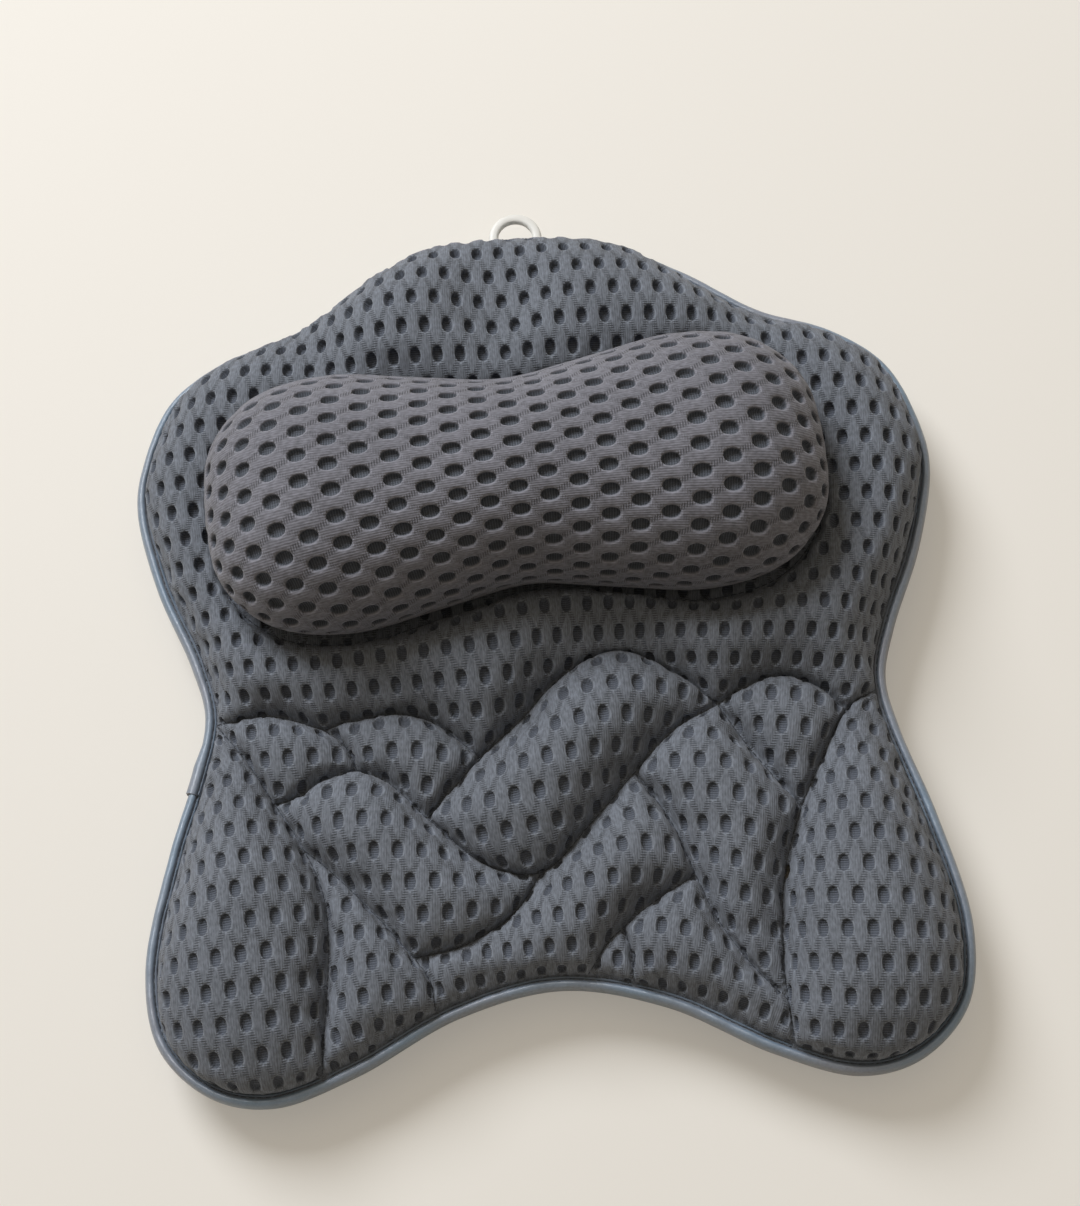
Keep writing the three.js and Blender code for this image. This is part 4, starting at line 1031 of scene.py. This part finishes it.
# Neck roll: a bone-shaped bolster of polyester fibre in its own cover of spacer mesh, sewn down round its
# foot, a little askew. The mesh lies a quarter turn from the panel's and is drawn tight, so its vents stand
# wider apart. It is blown up by a cloth simulation, laid flat with the least stretch and knitted on that.
ROLL_TUCK = 5
ROLL_BELLY = 20 * MM
ROLL_SLACK = 2
ROLL_ARCS = 14
ROLL_LEAN = 3 * MM
ROLL_VOXEL = 3.4 * MM
ROLL_SMOOTHING = 4
ROLL_PINNED = 1.5 * MM
ROLL_CAP = 4 * MM
ROLL_UNDER = 3.6 * MM
ROLL_OPEN = 2.2 * MM
ROLL_OPEN_TILT = -0.4
ROLL_PITCH = 9.9 * MM
ROLL_ROW = 10.9 * MM
ROLL_VENT_RINGS = [(3.65, 4.75, 0.34), (2.8, 3.75, 0.08), (2.55, 3.5, -0.45), (2.35, 3.25, -2.3)]
ROLL_GREY = "#767780"
# The roll's vent feet are a darker grey too: partly the pile yarn, partly painted shade.
ROLL_VENT_FOOT_AND_SHADE_GREY = "#525760"
ROLL_RISING = 0.35
roll_low, roll_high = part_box("neck_roll_cover")
roll_levels = [(ROLL_TUCK + ROLL_SLACK, 1.0, roll_low.z)]
for i in range(ROLL_ARCS):
    angle = math.pi / 2 * i / ROLL_ARCS
    height = roll_high.z - roll_low.z - ROLL_BELLY - ROLL_SLACK * MM
    roll_levels.append((ROLL_SLACK, math.cos(angle), roll_low.z + ROLL_BELLY + height * math.sin(angle)))
ring_size = len(roll_plan)
roll_lean = ROLL_LEAN / (roll_high.z - roll_low.z)
roll_points = [roll_point(p, inset, share).to_3d() + Vector((0, (roll_low.z - z) * roll_lean, z))
               for inset, share, z in roll_levels for p in roll_plan]
roll_faces = [(k * ring_size + i, k * ring_size + (i + 1) % ring_size,
               (k + 1) * ring_size + (i + 1) % ring_size, (k + 1) * ring_size + i)
              for k in range(len(roll_levels) - 1) for i in range(ring_size)]
roll_faces.append(list(range(ring_size))[::-1])
roll_faces.append(list(range(len(roll_points) - ring_size, len(roll_points))))
roll_cloth = new_mesh("roll_cloth", roll_points, roll_faces)
roll_cloth.data.remesh_voxel_size = ROLL_VOXEL
bpy.ops.object.voxel_remesh()
edit_all(bpy.ops.mesh.vertices_smooth, factor=0.5, repeat=ROLL_SMOOTHING)
roll_pins = [v.index for v in roll_cloth.data.vertices if v.co.z < roll_low.z + ROLL_PINNED]
inflate(roll_cloth, roll_pins, 0.0, ROLL_CAP)
bpy.ops.object.duplicate()
roll_core = bpy.context.object
roll_core.name = roll_core.data.name = "roll_filling"
edit_all(bpy.ops.transform.shrink_fatten, value=-ROLL_UNDER)
bpy.ops.object.shade_smooth()
roll_core.data.materials.append(fibre)
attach(roll_core, "pillow")
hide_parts("neck_roll_core")
shell = bmesh.new()
shell.from_mesh(roll_cloth.data)
foot = [f for f in shell.faces if f.normal.z < ROLL_OPEN_TILT
        and all(v.co.z < roll_low.z + ROLL_OPEN for v in f.verts)]
bmesh.ops.delete(shell, geom=foot, context="FACES")
bmesh.ops.triangulate(shell, faces=shell.faces)
shell.to_mesh(roll_cloth.data)
shell.free()
turn_back = Matrix.Rotation(-ROLL_SKEW, 2)
roll_own = [turn_back @ (v.co.xy - on_panel(*ROLL_MIDDLE)) for v in roll_cloth.data.vertices]
roll_cut = flatten(roll_cloth, [(-p.y, p.x) for p in roll_own])
roll_shape = [v.co.copy() for v in roll_cloth.data.vertices]
roll_edge = [roll_cut[k] for k in open_edge(roll_cloth)]
if sum(a.cross(b) for a, b in zip(roll_edge, roll_edge[1:] + roll_edge[:1])) < 0:
    roll_edge.reverse()
roll_edge = smooth_line(roll_edge[::2], closed=True)
roll_net = [tuple(f.vertices) for f in roll_cloth.data.polygons]
roll_cover = vent_lattice("roll_mesh", ROLL_PITCH, ROLL_ROW, ROLL_VENT_RINGS, *box_of(roll_cut))
lay_on(roll_cover, roll_cut, roll_shape, roll_net, roll_edge, [], 0)
roll_mesh = spacer_mesh("roll_spacer_mesh", ROLL_GREY, ROLL_VENT_FOOT_AND_SHADE_GREY, ROLL_PITCH, ROLL_ROW,
                        ROLL_VENT_RINGS, ROLL_RISING)
roll_cover.data.materials.append(roll_mesh)
bpy.data.objects.remove(roll_cloth)
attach(roll_cover, "pillow")
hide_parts("neck_roll_cover")

# Edge binding: satin polyester tape, folded round the rim over both covers and sewn near its inner edge.
# The fold stands out as a soft round bead, and the stitches sink a groove that leaves a narrow flat lip.
# The tape starts and ends at the left waist, where its end laps over its start and is tacked down.
TAPE_EDGE = 5.0
TAPE_GROOVE = 4.0
# The tape's upper side, from its inner edge to the fold: how far in from the rim and how high, in mm.
TAPE_TOP = [
    (TAPE_EDGE, 26.05), (4.98, 26.5), (4.6, 26.75), (4.25, 26.6), (TAPE_GROOVE, 26.1), (3.75, 26.7),
    (3.3, 27.35), (2.5, 27.7), (1.6, 27.4), (0.8, 26.6), (0.25, 25.4), (0.0, 24.2)]
TAPE_MIDDLE = 23.0
TAPE_FOLD = 1.9
TAPE_INSIDE = 26.0
TAPE_STITCH = 3.3
TAPE_JOIN = (-147, -35)
TAPE_LAP = 11
LAP_STEPS = 12
LAP_STEP, LAP_RISE = 1.1, 0.6
# How far in the lip begins to sway, the lap stops stepping out and the lap stops rising, in mm.
LIP_FROM, LAP_FROM, LAP_OVER = 3, 3.6, 4.9
SWAY, SWAY_LENGTH = 0.28, 16 * MM
BULGE, BULGE_LENGTH = 0.09, 7 * MM
# The groove's width and depth, and the width of the painted shade along it, in mm.
GROOVE_WIDTH, GROOVE_DEPTH, GROOVE_SHADE = 0.35, 0.4, 0.3
FOLD_OUT, FOLD_ROUND = 0.02, 0.3
TAPE_SPACING = 0.8 * MM
TAPE_CREASE = math.radians(55)
TAPE_THREAD, TACK_THREAD = 0.26 * MM, 0.45 * MM
TAPE_THREAD_LIFT = 0.15 * MM
TACK_RUNS = [[(4.6, 27.2), (2.4, 27.7)], [(2.4, 27.7), (0.3, 26.2)], [(-0.5, 24.6), (-0.7, 22.4)]]
TAPE_BLUE = "#71879d"
TAPE_LAVENDER = "#818896"
# The dark grey of the painted shade in the stitch groove.
TAPE_PAINTED_SHADE = "#2f343c"
tape_line = smooth_line(panel_edge[:-1:2], closed=True, step=TAPE_SPACING)
join = point_tree(tape_line[:-1]).find(on_panel(*TAPE_JOIN).to_3d())[1]
tape_spacing = (tape_line[1] - tape_line[0]).length
lap = round(TAPE_LAP * MM / tape_spacing)
count = len(tape_line) - 1
tape_inward = inward(tape_line)
groove_place = [inset for inset, z in TAPE_TOP].index(TAPE_GROOVE)
tape_points, tape_weave_and_shade = [], []
top_run, under_run = [], []


def on_rim(at, inset, z):
    """A point at a place along the rim, in millimetres in from it and up, as the part's own metres."""
    return at_height(tape_line[at] + tape_inward[at] * inset * MM, z * MM)


for i in range(count + lap + 1):
    at = (join - lap + i) % count
    along = i * tape_spacing
    lapped = ramp(i, count - LAP_STEPS, count) * LAP_STEP
    sway = SWAY * noise.noise(Vector((along / SWAY_LENGTH, 2.5, 0)))
    bulge = 1 + BULGE * noise.noise(Vector((along / BULGE_LENGTH, 7.1, 0)))
    pucker = 0.5 - 0.5 * math.cos(math.tau * along / (TAPE_STITCH * MM))
    section = []
    for inset, z in TAPE_TOP:
        lift = (z - TAPE_MIDDLE) * bulge
        sunk = GROOVE_DEPTH * math.exp(-((inset - TAPE_GROOVE) / GROOVE_WIDTH) ** 2) * pucker
        outwards = max(1 - inset / LAP_FROM, 0)
        section.append((inset + (sway if inset > LIP_FROM else 0) - lapped * outwards,
                        TAPE_MIDDLE + lift - sunk + lapped * LAP_RISE * (inset < LAP_OVER)))
    section.append((-FOLD_OUT - lapped, TAPE_MIDDLE))
    section += [(inset, 2 * TAPE_MIDDLE - z) for inset, z in section[-2::-1]]
    inside_low = 2 * TAPE_MIDDLE - TAPE_INSIDE
    section += [(TAPE_EDGE, inside_low), (TAPE_FOLD, inside_low + FOLD_ROUND),
                (TAPE_FOLD, TAPE_INSIDE - FOLD_ROUND), (TAPE_EDGE, TAPE_INSIDE)]
    girth = 0
    for k, (inset, z) in enumerate(section):
        tape_points.append(on_rim(at, inset, z))
        girth += math.dist(section[k - 1], section[k]) if k else 0
        # Painted shade: a mask that darkens the tape along its stitch groove.
        painted_groove_shade = math.exp(-((inset - TAPE_GROOVE - sway) / GROOVE_SHADE) ** 2)
        tape_weave_and_shade.append((along, girth * MM, painted_groove_shade))
    for run, side in ((top_run, groove_place), (under_run, len(TAPE_TOP) * 2 - groove_place)):
        run.append(on_rim(at, *section[side]))
size = len(section)
tape_faces = [(i * size + k, (i + 1) * size + k, (i + 1) * size + (k + 1) % size, i * size + (k + 1) % size)
              for i in range(count + lap) for k in range(size)]
tape_faces.append(tuple(range(size)))
tape_faces.append(tuple(range(len(tape_points) - size, len(tape_points)))[::-1])
binding = new_mesh("satin_binding", tape_points, tape_faces)
tape_places_and_shade = binding.data.attributes.new("tape", "FLOAT_VECTOR", "POINT")
for k, value in enumerate(tape_weave_and_shade):
    tape_places_and_shade.data[k].vector = value
edit_all(bpy.ops.mesh.normals_make_consistent, inside=False)
bpy.ops.object.shade_smooth_by_angle(angle=TAPE_CREASE)
satin = new_material("satin_tape")
place = node(satin, "Attribute", output="Vector", attribute_name="tape")
along, across, painted_groove_shade = (node(satin, "SeparateXYZ", {0: place}, output=axis) for axis in "XYZ")
# Satin floats run slantwise across the tape, 0.45 mm apart, and give it a soft broad shine.
slant = node(satin, "Math", {0: across, 1: 0.6, 2: along}, operation="MULTIPLY_ADD")
floats = node(satin, "Math", {0: slant, 1: math.tau / (0.45 * MM)}, operation="MULTIPLY")
floats = node(satin, "Math", {0: floats}, operation="SINE")
nap = node(satin, "TexNoise", {"Vector": place, "Scale": 1 / (1.4 * MM), "Detail": 4.0})
drift = node(satin, "TexNoise", {"Vector": place, "Scale": 1 / (70 * MM), "Detail": 2.0})
tint = node(satin, "MapRange", {0: drift, 1: 0.38, 2: 0.62})
dyed = node(satin, "Mix", {0: tint, 6: srgb(TAPE_BLUE), 7: srgb(TAPE_LAVENDER)}, output=2, data_type="RGBA")
tone = node(satin, "MapRange", {0: nap, 1: 0.3, 2: 0.7, 3: 0.86, 4: 1.1})
tone = node(satin, "Math", {0: floats, 1: 0.06, 2: tone}, operation="MULTIPLY_ADD")
dyed = node(satin, "VectorMath", {0: dyed, "Scale": tone}, operation="SCALE")
# Painted shade darkens the tape along its stitch groove.
colour = node(satin, "Mix", {0: painted_groove_shade, 6: dyed, 7: srgb(TAPE_PAINTED_SHADE)}, output=2, data_type="RGBA")
relief = node(satin, "Math", {0: nap, 1: 2.0, 2: floats}, operation="MULTIPLY_ADD")
gloss = node(satin, "MapRange", {0: nap, 1: 0.3, 2: 0.7, 3: 0.28, 4: 0.42})
shade(satin, colour, relief, 0.25, 0.1 * MM, {
    "Roughness": gloss, "Specular IOR Level": 0.9, "Sheen Weight": 0.25})
binding.data.materials.append(satin)
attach(binding, "pillow")
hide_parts("edge_binding")
for name, run, up in (("binding_stitches", top_run, Vector((0, 0, 1))),
                      ("binding_under_stitches", under_run, Vector((0, 0, -1)))):
    sew(name, [[p + up * TAPE_THREAD_LIFT for p in run]], up, TAPE_THREAD)
tack = [[on_rim(join, inset, z) for inset, z in run] for run in TACK_RUNS]
sew("binding_tack", tack, Vector((0.6, 0, 0.8)), TACK_THREAD)

# Floor, light and camera: a pale plain sheet under the part and one broad soft light, low from the head end
# and the left, seen from above the foot end as the part lies on its cups.
FLOOR_SIZE = 6
FLOOR = "#ebe5db"
FLOOR_SEEN = "#f8f6f1"
FLOOR_GLOW, GLOW_STRENGTH = 0.32, 0.96
bpy.ops.object.select_all(action="DESELECT")
bpy.ops.mesh.primitive_plane_add(size=FLOOR_SIZE)
floor = bpy.context.object
floor.name = "floor"
# The camera sees the paper lighter than it shines on the part, so that it is an even pale ground.
paper = new_material("matt_paper")
seen = node(paper, "LightPath", output="Is Camera Ray")
paper_tint = node(paper, "Mix", {0: seen, 6: srgb(FLOOR), 7: srgb(FLOOR_SEEN)}, output=2, data_type="RGBA")
paper_shader = node(paper, "BsdfPrincipled", {"Base Color": paper_tint, "Roughness": 0.9})
paper_glow = node(paper, "Emission", {"Color": srgb(FLOOR), "Strength": GLOW_STRENGTH})
glow_share = node(paper, "Math", {0: seen, 1: FLOOR_GLOW}, operation="MULTIPLY")
paper_mix = node(paper, "MixShader", {0: glow_share, 1: paper_shader, 2: paper_glow})
node(paper, "OutputMaterial", {"Surface": paper_mix})
floor.data.materials.append(paper)

VIEW_TILT = math.radians(19)
VIEW_ROLL = math.radians(3.2)
VIEW_DISTANCE = 870 * MM
FOCAL_PIXELS = 2149
FRAME_WIDE, FRAME_TALL = 1080, 1206
AIM_PIXEL = (545, 690)
AIM_HEIGHT = 22.5 * MM
aim = Vector((0, PANEL_Y, AIM_HEIGHT))
backwards = Vector((0, -math.sin(VIEW_TILT), math.cos(VIEW_TILT)))
upright = Vector((0, math.cos(VIEW_TILT), math.sin(VIEW_TILT)))
level = Vector((1, 0, 0))
right = math.cos(VIEW_ROLL) * level - math.sin(VIEW_ROLL) * upright
up = math.sin(VIEW_ROLL) * level + math.cos(VIEW_ROLL) * upright
aside = (AIM_PIXEL[0] - FRAME_WIDE / 2) / FOCAL_PIXELS * VIEW_DISTANCE
above = -(AIM_PIXEL[1] - FRAME_TALL / 2) / FOCAL_PIXELS * VIEW_DISTANCE
eye = aim - right * aside - up * above + backwards * VIEW_DISTANCE
lens = bpy.data.cameras.new("camera")
lens.sensor_width = 36
lens.lens = FOCAL_PIXELS / FRAME_TALL * lens.sensor_width
lens.clip_start = 0.01
camera = bpy.data.objects.new("camera", lens)
scene.collection.objects.link(camera)
camera.matrix_world = Matrix((
    (right.x, up.x, backwards.x, eye.x), (right.y, up.y, backwards.y, eye.y),
    (right.z, up.z, backwards.z, eye.z), (0, 0, 0, 1)))
scene.camera = camera

SKY = "#f2f1ee"
ROOM_WARMTH = "#f3e2c8"
DAYLIGHT = "#f6f8fb"
SKY_LIGHT = 0.18
SKY_SEEN = 0.85
KEY_FROM = Vector((-1.04, 1.46, 1.8))
KEY_SIZE = 1.3
KEY_POWER = 60
OVERHEAD_FROM = Vector((-0.1, 0.15, 1))
OVERHEAD_POWER = 0.4
OVERHEAD_SPREAD = math.radians(60)


def lamp(name, kind, come_from, tint, power):
    """A lamp that stands at a place and shines from there on the part."""
    hung = bpy.data.objects.new(name, bpy.data.lights.new(name, kind))
    scene.collection.objects.link(hung)
    hung.location = come_from
    hung.rotation_euler = come_from.to_track_quat("Z", "Y").to_euler()
    hung.data.color = srgb(tint)[:3]
    hung.data.energy = power
    return hung


window = lamp("window", "AREA", KEY_FROM, DAYLIGHT, KEY_POWER)
window.data.shape = "DISK"
window.data.size = KEY_SIZE
window.visible_camera = False
overhead = lamp("overhead", "SUN", OVERHEAD_FROM, ROOM_WARMTH, OVERHEAD_POWER)
overhead.data.angle = OVERHEAD_SPREAD
sky = bpy.data.worlds.new("studio")
scene.world = sky
sky.use_nodes = True
sky.node_tree.nodes.clear()
rays = [node(sky, "LightPath", output=f"Is {kind} Ray") for kind in ("Camera", "Glossy", "Transmission")]
seen = node(sky, "Math", {0: rays[0], 1: rays[1]}, operation="MAXIMUM")
seen = node(sky, "Math", {0: seen, 1: rays[2]}, operation="MAXIMUM")
strength = node(sky, "MapRange", {0: seen, 3: SKY_LIGHT, 4: SKY_SEEN})
tint = node(sky, "Mix", {0: seen, 6: srgb(ROOM_WARMTH), 7: srgb(SKY)}, output=2, data_type="RGBA")
studio = node(sky, "Background", {"Color": tint, "Strength": strength})
node(sky, "OutputWorld", {"Surface": studio})
scene.view_settings.view_transform = "Standard"

bpy.data.objects.remove(stitch)
